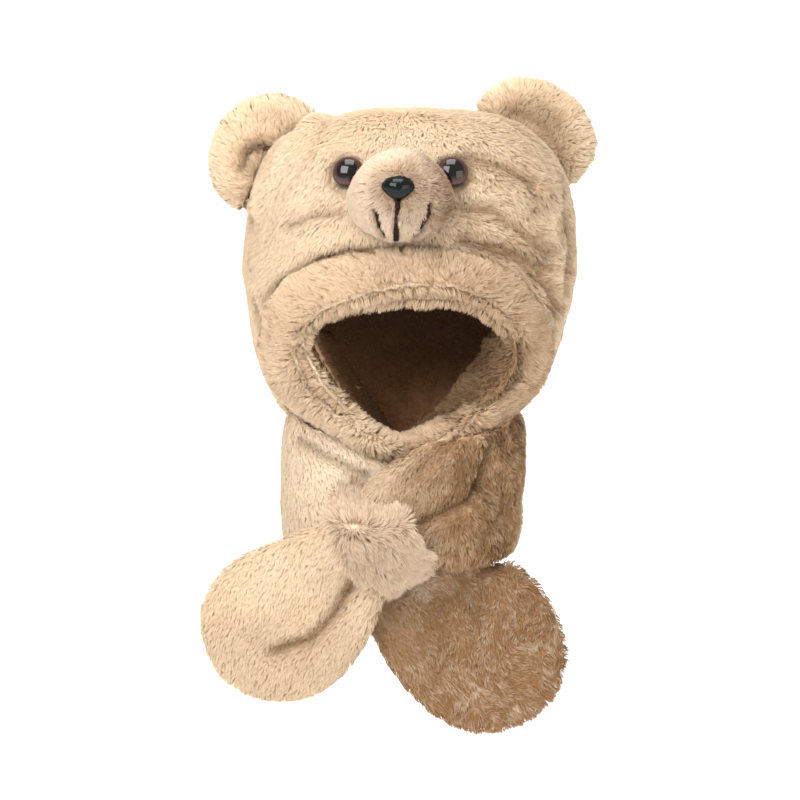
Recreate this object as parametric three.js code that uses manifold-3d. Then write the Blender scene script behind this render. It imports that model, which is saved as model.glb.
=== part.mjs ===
// A plush bear hood with a scarf sewn under it. The hood is a padded bag with a face window, a rolled brim,
// two ears, a stuffed muzzle, a moulded nose and two moulded eyes. The two halves of the scarf meet at the back
// of the neck, cross at the throat, and one is pulled through a keeper loop that is sewn to the other.
import * as THREE from "three";
import { mergeVertices } from "three/addons/utils/BufferGeometryUtils.js";
import Module from "manifold-3d";

const wasm = await Module();
wasm.setup();

// Driving dimensions in millimetres. +Z is up and the face looks along -Y. The origin is where the crown rests
// on a head. Left and right are the wearer's, so +X is on the left.
const seamGap = 0.3; // between two pieces that are sewn or pressed together

const hoodWidth = 246;
const hoodFront = 104; // from the head's axis to the brow
const hoodBack = 107;
const hoodHeight = 220; // from the top of the crown to the hem at the sides
const hemDrop = 22; // how much lower the hem hangs at the throat
const hoodWall = 13; // plush, padding and backing
const liningWall = 2;
const liningSkirt = 34; // how far the lining runs on into the collar
const liningTaper = 16; // and how much it draws in there

const brimWidth = 170.4; // across the middle of the roll
const brimTop = 114.3; // from the origin down to the middle of the roll at the brow
const brimRoll = 41; // flat width of the padded roll
const brimThick = 25;
const brimTuck = 5; // how far the roll's middle lies inside the hood's outer face
const brimTurn = 0.8; // how much its face turns to the side as it goes round

const earWidth = 90;
const earHeight = 56;
const earThick = 27;
const earCup = 9; // how far the ear's face is hollowed
const earRoot = 16; // length below the seam, before the hood's shape is cut from it

const faceShift = -7; // the face sits a little to the wearer's right
const faceDrop = 58; // from the origin down to the muzzle's middle
const muzzleWidth = 76;
const muzzleHeight = 63;
const muzzleLength = 47;
const muzzleRise = 5; // how far its tip stands above its root
const lipCrease = 3.2; // depth of the mouth's creases
const creaseSpread = 0.09; // their width as a share of the muzzle's
const lipPad = 2.5; // how far the lips swell

const eyeSpacing = 74;
const eyeRise = 18.7; // above the muzzle's middle
const eyeRadius = 11.2;
const eyeDome = 7;
const noseWidth = 23.6;
const noseHeight = 17.8;
const noseDome = 8;
const noseRise = 5.5; // above the muzzle's middle
const noseAside = 1.5; // to the wearer's right of it
const noseTilt = 14; // degrees back from upright
const noseTaper = 0.84; // how much narrower it is at the bottom than at the top
const nosePocket = 5; // how deep the nose is set in the plush
const noseShank = 0.86; // width of what is in the plush, as a share of the nose's
const noseSeat = 0.9; // where it sits along the muzzle, as a share of its length

const scarfWidth = 116;
const scarfThick = 22;
const scarfDrop = 234; // from the hood's hem down to the lower end of the scarf
const endRoundness = 2.4; // of the scarf's paw-like ends
const endWidth = 0.14; // of the flat on an end's tip, as a share of its own width
const endThickness = 0.35;
const collarEase = 1.2; // how far the collar stands out past the hood's hem

const keeperWidth = 53;
const keeperThick = 11;

const plushColour = 0xc9a27a;
const plush = new THREE.MeshStandardMaterial({ color: plushColour, roughness: 0.95, metalness: 0 });
const fleece = new THREE.MeshStandardMaterial({ color: 0x8f6a4b, roughness: 0.95, metalness: 0 });
const eyePlastic = new THREE.MeshStandardMaterial({ color: 0x2a1512, roughness: 0.08, metalness: 0 });
const nosePlastic = new THREE.MeshStandardMaterial({ color: 0x0c0f0f, roughness: 0.15, metalness: 0 });

// Each row is a level of the hood. down is a share of hoodHeight, wide of half the hoodWidth, front and back of
// hoodFront and hoodBack. aside is how far the level hangs to the wearer's right, in shares of half the hoodWidth.
const hoodLevels = [
  { down: 0.0, wide: 0.0, front: 0.0, back: 0.0, aside: 0.0 },
  { down: 0.007, wide: 0.27, front: 0.26, back: 0.3, aside: 0.0 },
  { down: 0.03, wide: 0.5, front: 0.48, back: 0.54, aside: 0.0 },
  { down: 0.07, wide: 0.69, front: 0.64, back: 0.72, aside: 0.0 },
  { down: 0.13, wide: 0.83, front: 0.75, back: 0.85, aside: 0.0 },
  { down: 0.22, wide: 0.93, front: 0.84, back: 0.94, aside: 0.0 },
  { down: 0.33, wide: 0.982, front: 0.91, back: 0.985, aside: 0.0 },
  { down: 0.44, wide: 1.003, front: 0.95, back: 1.0, aside: 0.0 },
  { down: 0.56, wide: 1.0, front: 0.985, back: 0.97, aside: 0.005 },
  { down: 0.67, wide: 0.976, front: 1.0, back: 0.92, aside: 0.015 },
  { down: 0.77, wide: 0.935, front: 0.98, back: 0.86, aside: 0.025 },
  { down: 0.86, wide: 0.88, front: 0.93, back: 0.79, aside: 0.035 },
  { down: 0.94, wide: 0.805, front: 0.86, back: 0.73, aside: 0.05 },
  { down: 1.0, wide: 0.71, front: 0.8, back: 0.69, aside: 0.05 },
];

// The middle line of the brim, clockwise from the brow as seen from the front. across is a share of half the
// brimWidth, down of brimHeight and roll of brimRoll.
const brimLine = [
  { across: -0.04, down: 0.0, roll: 1.0 },
  { across: 0.33, down: 0.012, roll: 0.97 },
  { across: 0.64, down: 0.073, roll: 0.93 },
  { across: 0.91, down: 0.246, roll: 0.88 },
  { across: 1.01, down: 0.42, roll: 0.82 },
  { across: 0.96, down: 0.61, roll: 0.72 },
  { across: 0.73, down: 0.78, roll: 0.62 },
  { across: 0.43, down: 0.91, roll: 0.5 },
  { across: 0.12, down: 1.01, roll: 0.42 },
  { across: -0.19, down: 1.04, roll: 0.42 },
  { across: -0.5, down: 0.9, roll: 0.64 },
  { across: -0.77, down: 0.755, roll: 0.9 },
  { across: -0.97, down: 0.58, roll: 1.02 },
  { across: -1.05, down: 0.38, roll: 1.04 },
  { across: -0.92, down: 0.172, roll: 1.03 },
  { across: -0.53, down: 0.042, roll: 1.02 },
];

// An ear from below its seam to its tip. up is a share of earHeight, wide of earWidth, thick of earThick.
const earLevels = [
  { up: 0.0, wide: 1.0, thick: 1.0 },
  { up: 0.2, wide: 1.02, thick: 1.0 },
  { up: 0.42, wide: 1.0, thick: 0.97 },
  { up: 0.62, wide: 0.91, thick: 0.9 },
  { up: 0.79, wide: 0.74, thick: 0.79 },
  { up: 0.91, wide: 0.51, thick: 0.62 },
  { up: 0.98, wide: 0.25, thick: 0.35 },
  { up: 1.0, wide: 0.0, thick: 0.0 },
];

// Where each ear stands: across is a share of half the hoodWidth, down of hoodHeight, back of hoodBack and tall of
// earHeight. lean is in degrees from upright.
const ears = [
  { name: "ear_right", side: -1, across: 0.752, down: 0.207, back: 0.04, lean: 51, tall: 1.0 },
  { name: "ear_left", side: 1, across: 0.69, down: 0.14, back: 0.075, lean: 41, tall: 0.9 },
];

// The muzzle from its root to its tip. out is a share of muzzleLength, wide and high of half its width and height.
const muzzleLevels = [
  { out: -0.3, wide: 0.9, high: 0.9 },
  { out: 0.0, wide: 0.92, high: 0.92 },
  { out: 0.22, wide: 0.99, high: 0.99 },
  { out: 0.42, wide: 1.0, high: 1.0 },
  { out: 0.6, wide: 0.93, high: 0.94 },
  { out: 0.76, wide: 0.8, high: 0.81 },
  { out: 0.88, wide: 0.61, high: 0.62 },
  { out: 0.96, wide: 0.36, high: 0.37 },
  { out: 1.0, wide: 0.0, high: 0.0 },
];

// The mouth's creases as runs of points: across is a share of half the muzzleWidth, up of half the muzzleHeight.
const mouthCreases = [
  [{ across: 0.0, up: 0.0 }, { across: -0.02, up: -0.45 }, { across: -0.03, up: -0.78 }],
  [{ across: -0.38, up: -0.24 }, { across: -0.31, up: -0.57 }, { across: -0.05, up: -0.98 }],
  [{ across: 0.54, up: -0.14 }, { across: 0.45, up: -0.55 }, { across: 0.02, up: -0.98 }],
];

const lipsAt = { across: 0.04, up: -0.55, wide: 0.4, high: 0.42 }; // shares of half the muzzle's sizes

// The path of each half of the scarf from the back of the neck to its free end. across and out are shares of half
// the collarWidth and collarDepth, down of scarfDrop, wide of scarfWidth and thick of scarfThick. turn is the way
// its face looks, in degrees from the front towards the wearer's left, and lean tips the upper edge inwards.
// Each row of a fold is a place that it is pressed to: along the path, across it from -1 to 1, its spread as a
// share of half the scarfWidth and its depth of scarfThick. roundFrom is where the end starts to round off.
const over = {
  path: [
    { across: 0.003, out: -0.86, down: 0.237, turn: 180, lean: 0, wide: 1.0, thick: 1.0 },
    { across: 0.56, out: -0.7, down: 0.237, turn: 138, lean: 0, wide: 1.0, thick: 1.0 },
    { across: 0.885, out: -0.22, down: 0.237, turn: 100, lean: 0, wide: 1.0, thick: 1.0 },
    { across: 0.885, out: 0.26, down: 0.237, turn: 74, lean: -4, wide: 0.98, thick: 1.05 },
    { across: 0.795, out: 0.71, down: 0.243, turn: 46, lean: -4, wide: 0.98, thick: 1.12 },
    { across: 0.51, out: 1.04, down: 0.268, turn: 22, lean: -1, wide: 0.94, thick: 1.25 },
    { across: 0.08, out: 1.25, down: 0.322, turn: 6, lean: -3, wide: 0.74, thick: 1.4 },
    { across: -0.175, out: 1.3, down: 0.4, turn: 0, lean: 0, wide: 0.56, thick: 1.4 },
    { across: -0.39, out: 1.28, down: 0.465, turn: 0, lean: 0, wide: 0.66, thick: 1.35 },
    { across: -0.61, out: 1.24, down: 0.537, turn: -2, lean: 0, wide: 0.87, thick: 1.3 },
    { across: -0.88, out: 1.21, down: 0.622, turn: -3, lean: 0, wide: 1.02, thick: 1.2 },
    { across: -1.18, out: 1.19, down: 0.702, turn: -4, lean: 0, wide: 1.0, thick: 1.1 },
    { across: -1.5, out: 1.17, down: 0.8, turn: -5, lean: 0, wide: 0.94, thick: 1.0 },
  ],
  folds: [
    [
      { along: 0.3, across: 0.8, spread: 0.12, depth: 0 },
      { along: 0.345, across: 0.55, spread: 0.14, depth: 0.5 },
      { along: 0.39, across: 0.2, spread: 0.16, depth: 0.8 },
      { along: 0.44, across: 0.0, spread: 0.18, depth: 0.9 },
      { along: 0.5, across: 0.0, spread: 0.25, depth: 0.7 },
      { along: 0.6, across: 0.0, spread: 0.3, depth: 0 },
    ],
    [
      { along: 0.62, across: -0.1, spread: 0.15, depth: 0 },
      { along: 0.667, across: -0.2, spread: 0.17, depth: 0.6 },
      { along: 0.72, across: -0.33, spread: 0.16, depth: 0.8 },
      { along: 0.77, across: -0.42, spread: 0.15, depth: 0.75 },
      { along: 0.83, across: -0.42, spread: 0.14, depth: 0.5 },
      { along: 0.95, across: -0.2, spread: 0.12, depth: 0 },
    ],
  ],
  roundFrom: 0.86,
};
const under = {
  path: [
    { across: -0.003, out: -0.86, down: 0.237, turn: -180, lean: 0, wide: 1.0, thick: 1.0 },
    { across: -0.56, out: -0.7, down: 0.237, turn: -138, lean: 0, wide: 1.0, thick: 1.0 },
    { across: -0.88, out: -0.22, down: 0.237, turn: -100, lean: 0, wide: 1.0, thick: 1.0 },
    { across: -0.88, out: 0.27, down: 0.237, turn: -70, lean: 2, wide: 1.0, thick: 1.0 },
    { across: -0.715, out: 0.66, down: 0.243, turn: -40, lean: 4, wide: 1.0, thick: 1.0 },
    { across: -0.46, out: 0.88, down: 0.275, turn: -16, lean: 4, wide: 0.97, thick: 1.0 },
    { across: -0.2, out: 0.94, down: 0.362, turn: -4, lean: 2, wide: 0.88, thick: 1.0 },
    { across: 0.0, out: 0.94, down: 0.46, turn: 0, lean: 0, wide: 0.84, thick: 1.05 },
    { across: 0.2, out: 0.89, down: 0.545, turn: 12, lean: 0, wide: 0.96, thick: 1.1 },
    { across: 0.42, out: 0.86, down: 0.638, turn: 16, lean: 0, wide: 1.09, thick: 1.15 },
    { across: 0.69, out: 0.85, down: 0.75, turn: 12, lean: 0, wide: 1.1, thick: 1.1 },
    { across: 1.1, out: 0.84, down: 0.95, turn: 8, lean: 0, wide: 1.06, thick: 1.0 },
  ],
  folds: [
    [
      { along: 0.3, across: -0.8, spread: 0.1, depth: 0 },
      { along: 0.36, across: -0.62, spread: 0.12, depth: 0.4 },
      { along: 0.41, across: -0.5, spread: 0.13, depth: 0.5 },
      { along: 0.455, across: -0.4, spread: 0.13, depth: 0.5 },
      { along: 0.56, across: -0.2, spread: 0.12, depth: 0 },
    ],
    [
      { along: 0.68, across: -0.35, spread: 0.12, depth: 0 },
      { along: 0.77, across: -0.2, spread: 0.16, depth: 0.35 },
      { along: 0.85, across: -0.1, spread: 0.18, depth: 0.3 },
      { along: 0.94, across: 0.0, spread: 0.15, depth: 0 },
    ],
  ],
  roundFrom: 0.9,
};

// The keeper loop from its upper seam to its lower one. aside and up are shares of scarfWidth from the place where
// it gathers the scarf, out is 0 at the middle of the half that it is sewn to and 1 over the half that it holds,
// wide is a share of keeperWidth and thick of keeperThick.
const keeperPath = [
  { aside: -0.215, up: 0.4, out: 0.19, wide: 0.5, thick: 1.0 },
  { aside: -0.153, up: 0.317, out: 0.68, wide: 0.66, thick: 1.0 },
  { aside: -0.049, up: 0.186, out: 0.96, wide: 0.88, thick: 1.05 },
  { aside: 0.042, up: 0.03, out: 1.0, wide: 1.0, thick: 1.1 },
  { aside: 0.115, up: -0.101, out: 0.87, wide: 1.0, thick: 1.1 },
  { aside: 0.161, up: -0.192, out: 0.5, wide: 0.95, thick: 1.0 },
  { aside: 0.173, up: -0.222, out: 0.0, wide: 0.85, thick: 1.0 },
];
const keeperCrest = 3; // the row that lies over the held half
const gathered = 7; // the row of both paths where the halves cross under the keeper
const keeperLie = { x: -0.82, z: -0.57 }; // the way that the scarf runs through it

// How finely each piece is faceted: steps along it and sides round it.
const facets = {
  hood: { steps: 17, sides: 34 },
  lining: { steps: 11, sides: 24 },
  brim: { steps: 42, sides: 12 },
  ear: { steps: 10, sides: 20 },
  muzzle: { steps: 13, sides: 26 },
  eye: { steps: 5, sides: 20 },
  nose: { steps: 6, sides: 18 },
  scarf: { steps: 32, sides: 18 },
  keeper: { steps: 12, sides: 12 },
};

const crownTop = hoodWall;
const hemLevel = crownTop - hoodHeight;
const brimHeight = hemDrop - hemLevel - brimTop; // down to the throat, where the hem hangs lowest
const hem = hoodLevels.at(-1);
const collarWidth = hem.wide * hoodWidth + 2 * collarEase;
const collarDepth = hem.front * hoodFront + hem.back * hoodBack + 2 * collarEase;
const collarMiddle = new THREE.Vector3(
  (-hem.aside * hoodWidth) / 2,
  (hem.back * hoodBack - hem.front * hoodFront) / 2,
  hemLevel,
);
const roundness = { hood: 2.4, strip: 2.8, brim: 2.2, ear: 2.3, muzzle: 2.25, nose: 2.1 };

// The row at a share of the way down a table, with its columns smoothly filled in between the rows.
function rowAt(table, share) {
  const names = Object.keys(table[0]);
  const places = table.map((_, index) => index / (table.length - 1));
  const values = table.flatMap((row) => names.map((name) => row[name]));
  const found = new THREE.CubicInterpolant(places, values, names.length).evaluate(share);
  return Object.fromEntries(names.map((name, column) => [name, found[column]]));
}

// A point of a rounded oblong of half sizes a and b. A higher roundness makes it squarer.
function oblong(angle, a, b, squareness) {
  const bend = (value) => Math.sign(value) * Math.abs(value) ** (2 / squareness);
  return [a * bend(Math.cos(angle)), b * bend(Math.sin(angle))];
}

function evenly(count, make) {
  return Array.from({ length: count }, (_, index) => make(index / count, index));
}

// Joins rings of points into one closed solid. A ring of a single point is a tip.
function loft(rings) {
  const starts = [];
  const positions = [];
  for (const ring of rings) {
    starts.push(positions.length / 3);
    for (const point of ring) positions.push(point.x, point.y, point.z);
  }
  const faces = [];
  for (let r = 0; r + 1 < rings.length; r++) {
    const count = Math.max(rings[r].length, rings[r + 1].length);
    const at = (ring, index) => starts[ring] + (index % count) % rings[ring].length;
    for (let s = 0; s < count; s++) {
      if (rings[r].length > 1) faces.push(at(r, s), at(r, s + 1), at(r + 1, s));
      if (rings[r + 1].length > 1) faces.push(at(r, s + 1), at(r + 1, s + 1), at(r + 1, s));
    }
  }
  return solidOf(positions, faces);
}

function solidOf(positions, faces) {
  const vertProperties = new Float32Array(positions);
  const solid = new wasm.Manifold(new wasm.Mesh({ numProp: 3, vertProperties, triVerts: new Uint32Array(faces) }));
  if (solid.volume() > 0) return solid;
  return solidOf(positions, [...faces].reverse());
}

function middleOf(ring) {
  return ring.reduce((sum, point) => sum.add(point), new THREE.Vector3()).divideScalar(ring.length);
}

// A closed solid from open rings, with a flat end on each end ring.
function capped(rings) {
  return loft([[middleOf(rings[0])], ...rings, [middleOf(rings.at(-1))]]);
}

// A solid from one of the three.js geometries.
function solidFrom(geometry) {
  const plain = geometry.clone();
  plain.deleteAttribute("normal");
  plain.deleteAttribute("uv");
  const merged = mergeVertices(plain, 1e-4);
  return solidOf([...merged.attributes.position.array], [...merged.index.array]);
}

function minus(solid, ...cutters) {
  return cutters.reduce((rest, cutter) => rest.subtract(cutter), solid);
}

// Of the bodies that a cut leaves, the largest.
function mainBody(solid) {
  return solid.decompose().reduce((a, b) => (b.volume() > a.volume() ? b : a));
}

// The hood's surface: a point at a share of the way down hoodLevels and an angle from the wearer's left round the
// back. inset moves it inwards.
function hoodPoint(share, angle, inset) {
  const level = rowAt(hoodLevels, share);
  const wide = Math.max(0, level.wide) * (hoodWidth / 2 - inset);
  const [x, unitY] = oblong(angle, wide, 1, roundness.hood);
  const depth = unitY < 0 ? level.front * (hoodFront - inset) : level.back * (hoodBack - inset);
  const frontness = Math.max(0, -Math.sin(angle));
  const fall = (hoodHeight - inset) * level.down + hemDrop * (level.down * frontness) ** 2;
  const aside = (level.aside * hoodWidth) / 2;
  return new THREE.Vector3(x - aside, unitY * Math.max(0, depth), crownTop - inset - fall);
}

// How far in front of the head's axis the hood's surface lies at a place seen from the front.
function hoodFrontAt(x, z, inset = 0) {
  let [high, low] = [0.02, 1];
  let y = 0;
  for (let step = 0; step < 24; step++) {
    const share = (high + low) / 2;
    const level = rowAt(hoodLevels, share);
    const sideways = Math.abs(x + (level.aside * hoodWidth) / 2);
    const cosine = Math.min(1, sideways / level.wide / (hoodWidth / 2 - inset)) ** (roundness.hood / 2);
    const point = hoodPoint(share, -Math.acos(cosine), inset);
    y = point.y;
    if (point.z > z) high = share;
    else low = share;
  }
  return -y;
}

function hoodRings(inset, { steps, sides }) {
  return evenly(steps, (_, index) => {
    const share = (index + 1) / steps;
    return evenly(sides, (turn) => hoodPoint(share, turn * 2 * Math.PI, inset));
  });
}

// The hood's shape as a solid block. below carries its open end on past the hem.
function hoodBlock(inset, fineness, below = 0) {
  const hemAt = (depth) =>
    evenly(fineness.sides, (turn) => {
      const point = hoodPoint(1, turn * 2 * Math.PI, depth);
      return point.setZ(point.z - below);
    });
  const tip = new THREE.Vector3(0, 0, crownTop - inset);
  const rings = hoodRings(inset, fineness);
  if (below > 0) rings.push(hemAt(inset));
  rings.push(hemAt(inset + 2 * hoodWall));
  return loft([[tip], ...rings, [middleOf(rings.at(-1))]]);
}

// The lining's outer face as a solid block, with the skirt that runs on into the collar.
function liningBlock(inset, below) {
  const skirt = evenly(facets.lining.sides, (turn) => {
    const point = hoodPoint(1, turn * 2 * Math.PI, inset + liningTaper);
    return point.setZ(hemLevel - liningSkirt - below);
  });
  const tip = new THREE.Vector3(0, 0, crownTop - inset);
  return loft([[tip], ...hoodRings(inset, facets.lining), skirt, [middleOf(skirt)]]);
}

// The middle line of the brim, laid on the hood's surface.
function brimPoint(share) {
  const row = rowAt([...brimLine, brimLine[0]], share);
  const x = (row.across * brimWidth) / 2;
  const z = -brimTop - row.down * brimHeight;
  const y = -hoodFrontAt(x, Math.max(z, hemLevel), brimTuck);
  return { middle: new THREE.Vector3(x, y, z), roll: row.roll };
}

// Rings round a path, closer together towards an open path's end. place gives a middle point and half sizes at a
// share of the way along, face the way that the strip looks there, and shape how far its surface is lifted.
function stripRings({ steps, sides }, closed, place, face, squareness, shape = () => 0) {
  const reach = 0.25 / steps;
  const within = (share) => (closed ? (share + 1) % 1 : THREE.MathUtils.clamp(share, 0, 1));
  return evenly(closed ? steps : steps + 1, (_, index) => {
    const share = closed ? index / steps : Math.sin((index / steps) * (Math.PI / 2));
    const { middle, half, thick } = place(share);
    const ahead = place(within(share + reach)).middle;
    const along = ahead.sub(place(within(share - reach)).middle).normalize();
    const across = new THREE.Vector3().crossVectors(along, face(share)).normalize();
    const outward = new THREE.Vector3().crossVectors(across, along);
    return evenly(sides, (turn) => {
      const [u, v] = oblong(turn * 2 * Math.PI, half, thick, squareness);
      const lift = v + shape(share, u / half);
      return middle.clone().addScaledVector(across, u).addScaledVector(outward, lift);
    });
  });
}

function makeBrim(extra) {
  const place = (share) => {
    const { middle, roll } = brimPoint(share);
    return { middle, half: (roll * brimRoll) / 2 + extra, thick: brimThick / 2 + extra };
  };
  const face = (share) => {
    const { middle } = brimPoint(share);
    return new THREE.Vector3(middle.x * brimTurn, -hoodFront, 0).normalize();
  };
  const rings = stripRings(facets.brim, true, place, face, roundness.brim);
  const count = rings.length;
  const sides = facets.brim.sides;
  const faces = [];
  for (let r = 0; r < count; r++) {
    for (let s = 0; s < sides; s++) {
      const [a, b] = [r * sides + s, r * sides + ((s + 1) % sides)];
      const [c, d] = [((r + 1) % count) * sides + s, ((r + 1) % count) * sides + ((s + 1) % sides)];
      faces.push(a, b, c, b, d, c);
    }
  }
  return solidOf(rings.flat().flatMap((point) => [point.x, point.y, point.z]), faces);
}

// The window through the hood's front, up to the middle line of the brim.
function windowBlock() {
  const outline = new THREE.Shape(
    evenly(facets.brim.steps, (share) => {
      const { middle } = brimPoint(share);
      return new THREE.Vector2(middle.x, middle.z);
    }),
  );
  const depth = hoodFront * 2;
  const block = new THREE.ExtrudeGeometry(outline, { depth, bevelEnabled: false });
  block.rotateX(Math.PI / 2); // the outline's second axis becomes Z, and the block runs towards -Y
  return solidFrom(block);
}

function makeEar({ side, across, down, back, lean, tall }) {
  const rings = evenly(facets.ear.steps, (_, index) => {
    const level = rowAt(earLevels, index / facets.ear.steps);
    const z = index === 0 ? -earRoot : level.up * earHeight * tall;
    const hollow = earCup * Math.sin(Math.PI * THREE.MathUtils.clamp(0.25 + level.up * 0.75, 0, 1));
    const wide = (level.wide * earWidth) / 2;
    return evenly(facets.ear.sides, (turn) => {
      const [x, y] = oblong(turn * 2 * Math.PI, wide, (level.thick * earThick) / 2, roundness.ear);
      const cup = hollow * (1 - (x / wide) ** 2);
      return new THREE.Vector3(x, y + cup, z);
    });
  });
  const tip = new THREE.Vector3(0, 0, earHeight * tall);
  const turned = new THREE.Matrix4().makeRotationY(THREE.MathUtils.degToRad(lean * side));
  turned.setPosition((side * across * hoodWidth) / 2, back * hoodBack, crownTop - down * hoodHeight);
  const placed = [...rings, [tip]].map((ring) => ring.map((point) => point.applyMatrix4(turned)));
  return loft([[middleOf(placed[0])], ...placed]);
}

// How near a place on the muzzle's face lies to a crease, from 0 far from it to 1 on it.
function creaseAt(across, up) {
  const here = new THREE.Vector3(across, up, 0);
  const near = new THREE.Vector3();
  let least = Infinity;
  for (const crease of mouthCreases) {
    for (let i = 0; i + 1 < crease.length; i++) {
      const [a, b] = [crease[i], crease[i + 1]].map((row) => new THREE.Vector3(row.across, row.up, 0));
      new THREE.Line3(a, b).closestPointToPoint(here, true, near);
      least = Math.min(least, near.distanceTo(here));
    }
  }
  return Math.exp(-((least / creaseSpread) ** 2));
}

const muzzleRoot = new THREE.Vector3(faceShift, -hoodFrontAt(faceShift, -faceDrop), -faceDrop);

function makeMuzzle() {
  const rings = evenly(facets.muzzle.steps, (_, index) => {
    const level = rowAt(muzzleLevels, index / facets.muzzle.steps);
    const rise = muzzleRise * Math.max(0, level.out);
    return evenly(facets.muzzle.sides, (turn) => {
      const [wide, high] = [muzzleWidth / 2, muzzleHeight / 2];
      const [u, v] = oblong(turn * 2 * Math.PI, level.wide, level.high, roundness.muzzle);
      const onLips = Math.exp(-(((u - lipsAt.across) / lipsAt.wide) ** 2) - ((v - lipsAt.up) / lipsAt.high) ** 2);
      const forward = lipPad * onLips - lipCrease * creaseAt(u, v);
      const share = Math.max(0, level.out);
      const out = level.out * muzzleLength + forward * share;
      return new THREE.Vector3(u * wide, -out, v * high + rise).add(muzzleRoot);
    });
  });
  const tip = new THREE.Vector3(0, -muzzleLength, muzzleRise).add(muzzleRoot);
  return loft([[middleOf(rings[0])], ...rings, [tip]]);
}

// The way that the hood's surface faces at a place seen from the front.
function hoodFacing(x, z) {
  const step = 4;
  const sideways = (hoodFrontAt(x + step, z) - hoodFrontAt(x - step, z)) / (2 * step);
  const upwards = (hoodFrontAt(x, z + step) - hoodFrontAt(x, z - step)) / (2 * step);
  return new THREE.Vector3(-sideways, -1, -upwards).normalize();
}

function makeEye(side, extra) {
  const { steps, sides } = facets.eye;
  const radius = eyeRadius + extra;
  const dome = evenly(steps, (share) => {
    const angle = (share * Math.PI) / 2;
    return new THREE.Vector2(radius * Math.cos(angle), (eyeDome + extra) * Math.sin(angle));
  });
  const back = -2 * eyeDome;
  const profile = [new THREE.Vector2(0, back), new THREE.Vector2(radius, back), ...dome];
  const eye = new THREE.LatheGeometry([...profile, new THREE.Vector2(0, eyeDome + extra)], sides);
  const x = faceShift + (side * eyeSpacing) / 2;
  const z = eyeRise - faceDrop;
  const facing = hoodFacing(x, z);
  const turned = new THREE.Quaternion().setFromUnitVectors(new THREE.Vector3(0, 1, 0), facing);
  eye.applyQuaternion(turned);
  eye.translate(x, -hoodFrontAt(x, z), z);
  return solidFrom(eye);
}

// A rounded triangle with its flat side up, domed in front.
function makeNose(extra) {
  const { steps, sides } = facets.nose;
  const ring = (size, out) =>
    evenly(sides, (turn) => {
      const [x, z] = oblong(turn * 2 * Math.PI, noseWidth / 2 + extra, noseHeight / 2 + extra, roundness.nose);
      const narrow = 1 - noseTaper * Math.max(0, -z / noseHeight);
      return new THREE.Vector3(x * size * narrow, out, z * size);
    });
  const rings = [ring(noseShank, nosePocket + extra), ring(1, 0)];
  for (let step = 1; step < steps; step++) {
    const angle = (step / steps) * (Math.PI / 2);
    rings.push(ring(Math.cos(angle), -(noseDome + extra) * Math.sin(angle)));
  }
  const seat = new THREE.Vector3(-noseAside, -noseSeat * muzzleLength, noseRise).add(muzzleRoot);
  const turned = new THREE.Matrix4().makeRotationX(THREE.MathUtils.degToRad(-noseTilt)).setPosition(seat);
  const tip = new THREE.Vector3(0, -noseDome - extra, 0);
  const placed = [...rings, [tip]].map((points) => points.map((point) => point.applyMatrix4(turned)));
  return loft([[middleOf(placed[0])], ...placed]);
}

// How far the folds press the scarf's face in, at a share of its path and a place across it.
function foldLift(folds, share, across) {
  let lift = 0;
  for (const rows of folds) {
    const next = rows.findIndex((row) => row.along > share);
    if (next < 1) continue;
    const [a, b] = [rows[next - 1], rows[next]];
    const between = (name) => THREE.MathUtils.lerp(a[name], b[name], (share - a.along) / (b.along - a.along));
    lift -= between("depth") * scarfThick * Math.exp(-(((across - between("across")) / between("spread")) ** 2));
  }
  return lift;
}

function makeScarf({ path, folds, roundFrom }, extra) {
  const place = (share) => {
    const row = rowAt(path, share);
    const offset = new THREE.Vector3(
      (row.across * collarWidth) / 2,
      (-row.out * collarDepth) / 2,
      -row.down * scarfDrop,
    );
    const past = Math.max(0, (share - roundFrom) / (1 - roundFrom));
    const narrow = Math.sqrt(Math.max(endWidth ** 2, 1 - past ** endRoundness));
    const thin = Math.sqrt(Math.max(endThickness ** 2, 1 - past ** 4));
    return {
      middle: offset.add(collarMiddle),
      half: (row.wide * scarfWidth * narrow) / 2 + extra,
      thick: (row.thick * scarfThick * thin) / 2 + extra,
    };
  };
  const face = (share) => {
    const row = rowAt(path, share);
    const turn = THREE.MathUtils.degToRad(row.turn);
    const lean = THREE.MathUtils.degToRad(row.lean);
    const level = Math.cos(lean);
    return new THREE.Vector3(level * Math.sin(turn), -level * Math.cos(turn), Math.sin(lean));
  };
  const fold = (share, across) => foldLift(folds, share, across);
  return capped(stripRings(facets.scarf, false, place, face, roundness.strip, fold));
}

function makeKeeper(extra) {
  const [held, carrier] = [over.path[gathered], under.path[gathered]];
  const crown = (held.thick * scarfThick + keeperPath[keeperCrest].thick * keeperThick) / 2 + seamGap;
  const rise = ((held.out - carrier.out) * collarDepth) / 2 + crown;
  const crossing = new THREE.Vector3(
    (held.across * collarWidth) / 2,
    (-carrier.out * collarDepth) / 2,
    -held.down * scarfDrop,
  ).add(collarMiddle);
  const place = (share) => {
    const row = rowAt(keeperPath, share);
    const offset = new THREE.Vector3(row.aside * scarfWidth, -row.out * rise, row.up * scarfWidth);
    return {
      middle: offset.add(crossing),
      half: (row.wide * keeperWidth) / 2 + extra,
      thick: (row.thick * keeperThick) / 2 + extra,
    };
  };
  const across = new THREE.Vector3(keeperLie.x, 0, keeperLie.z).normalize();
  const face = (share) => {
    const reach = 0.02;
    const at = (value) => place(THREE.MathUtils.clamp(value, 0, 1)).middle;
    const along = at(share + reach).sub(at(share - reach)).normalize();
    return new THREE.Vector3().crossVectors(across, along).negate();
  };
  return capped(stripRings(facets.keeper, false, place, face, roundness.strip));
}

const object = new THREE.Group();
object.name = "bear_hood_scarf";

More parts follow.
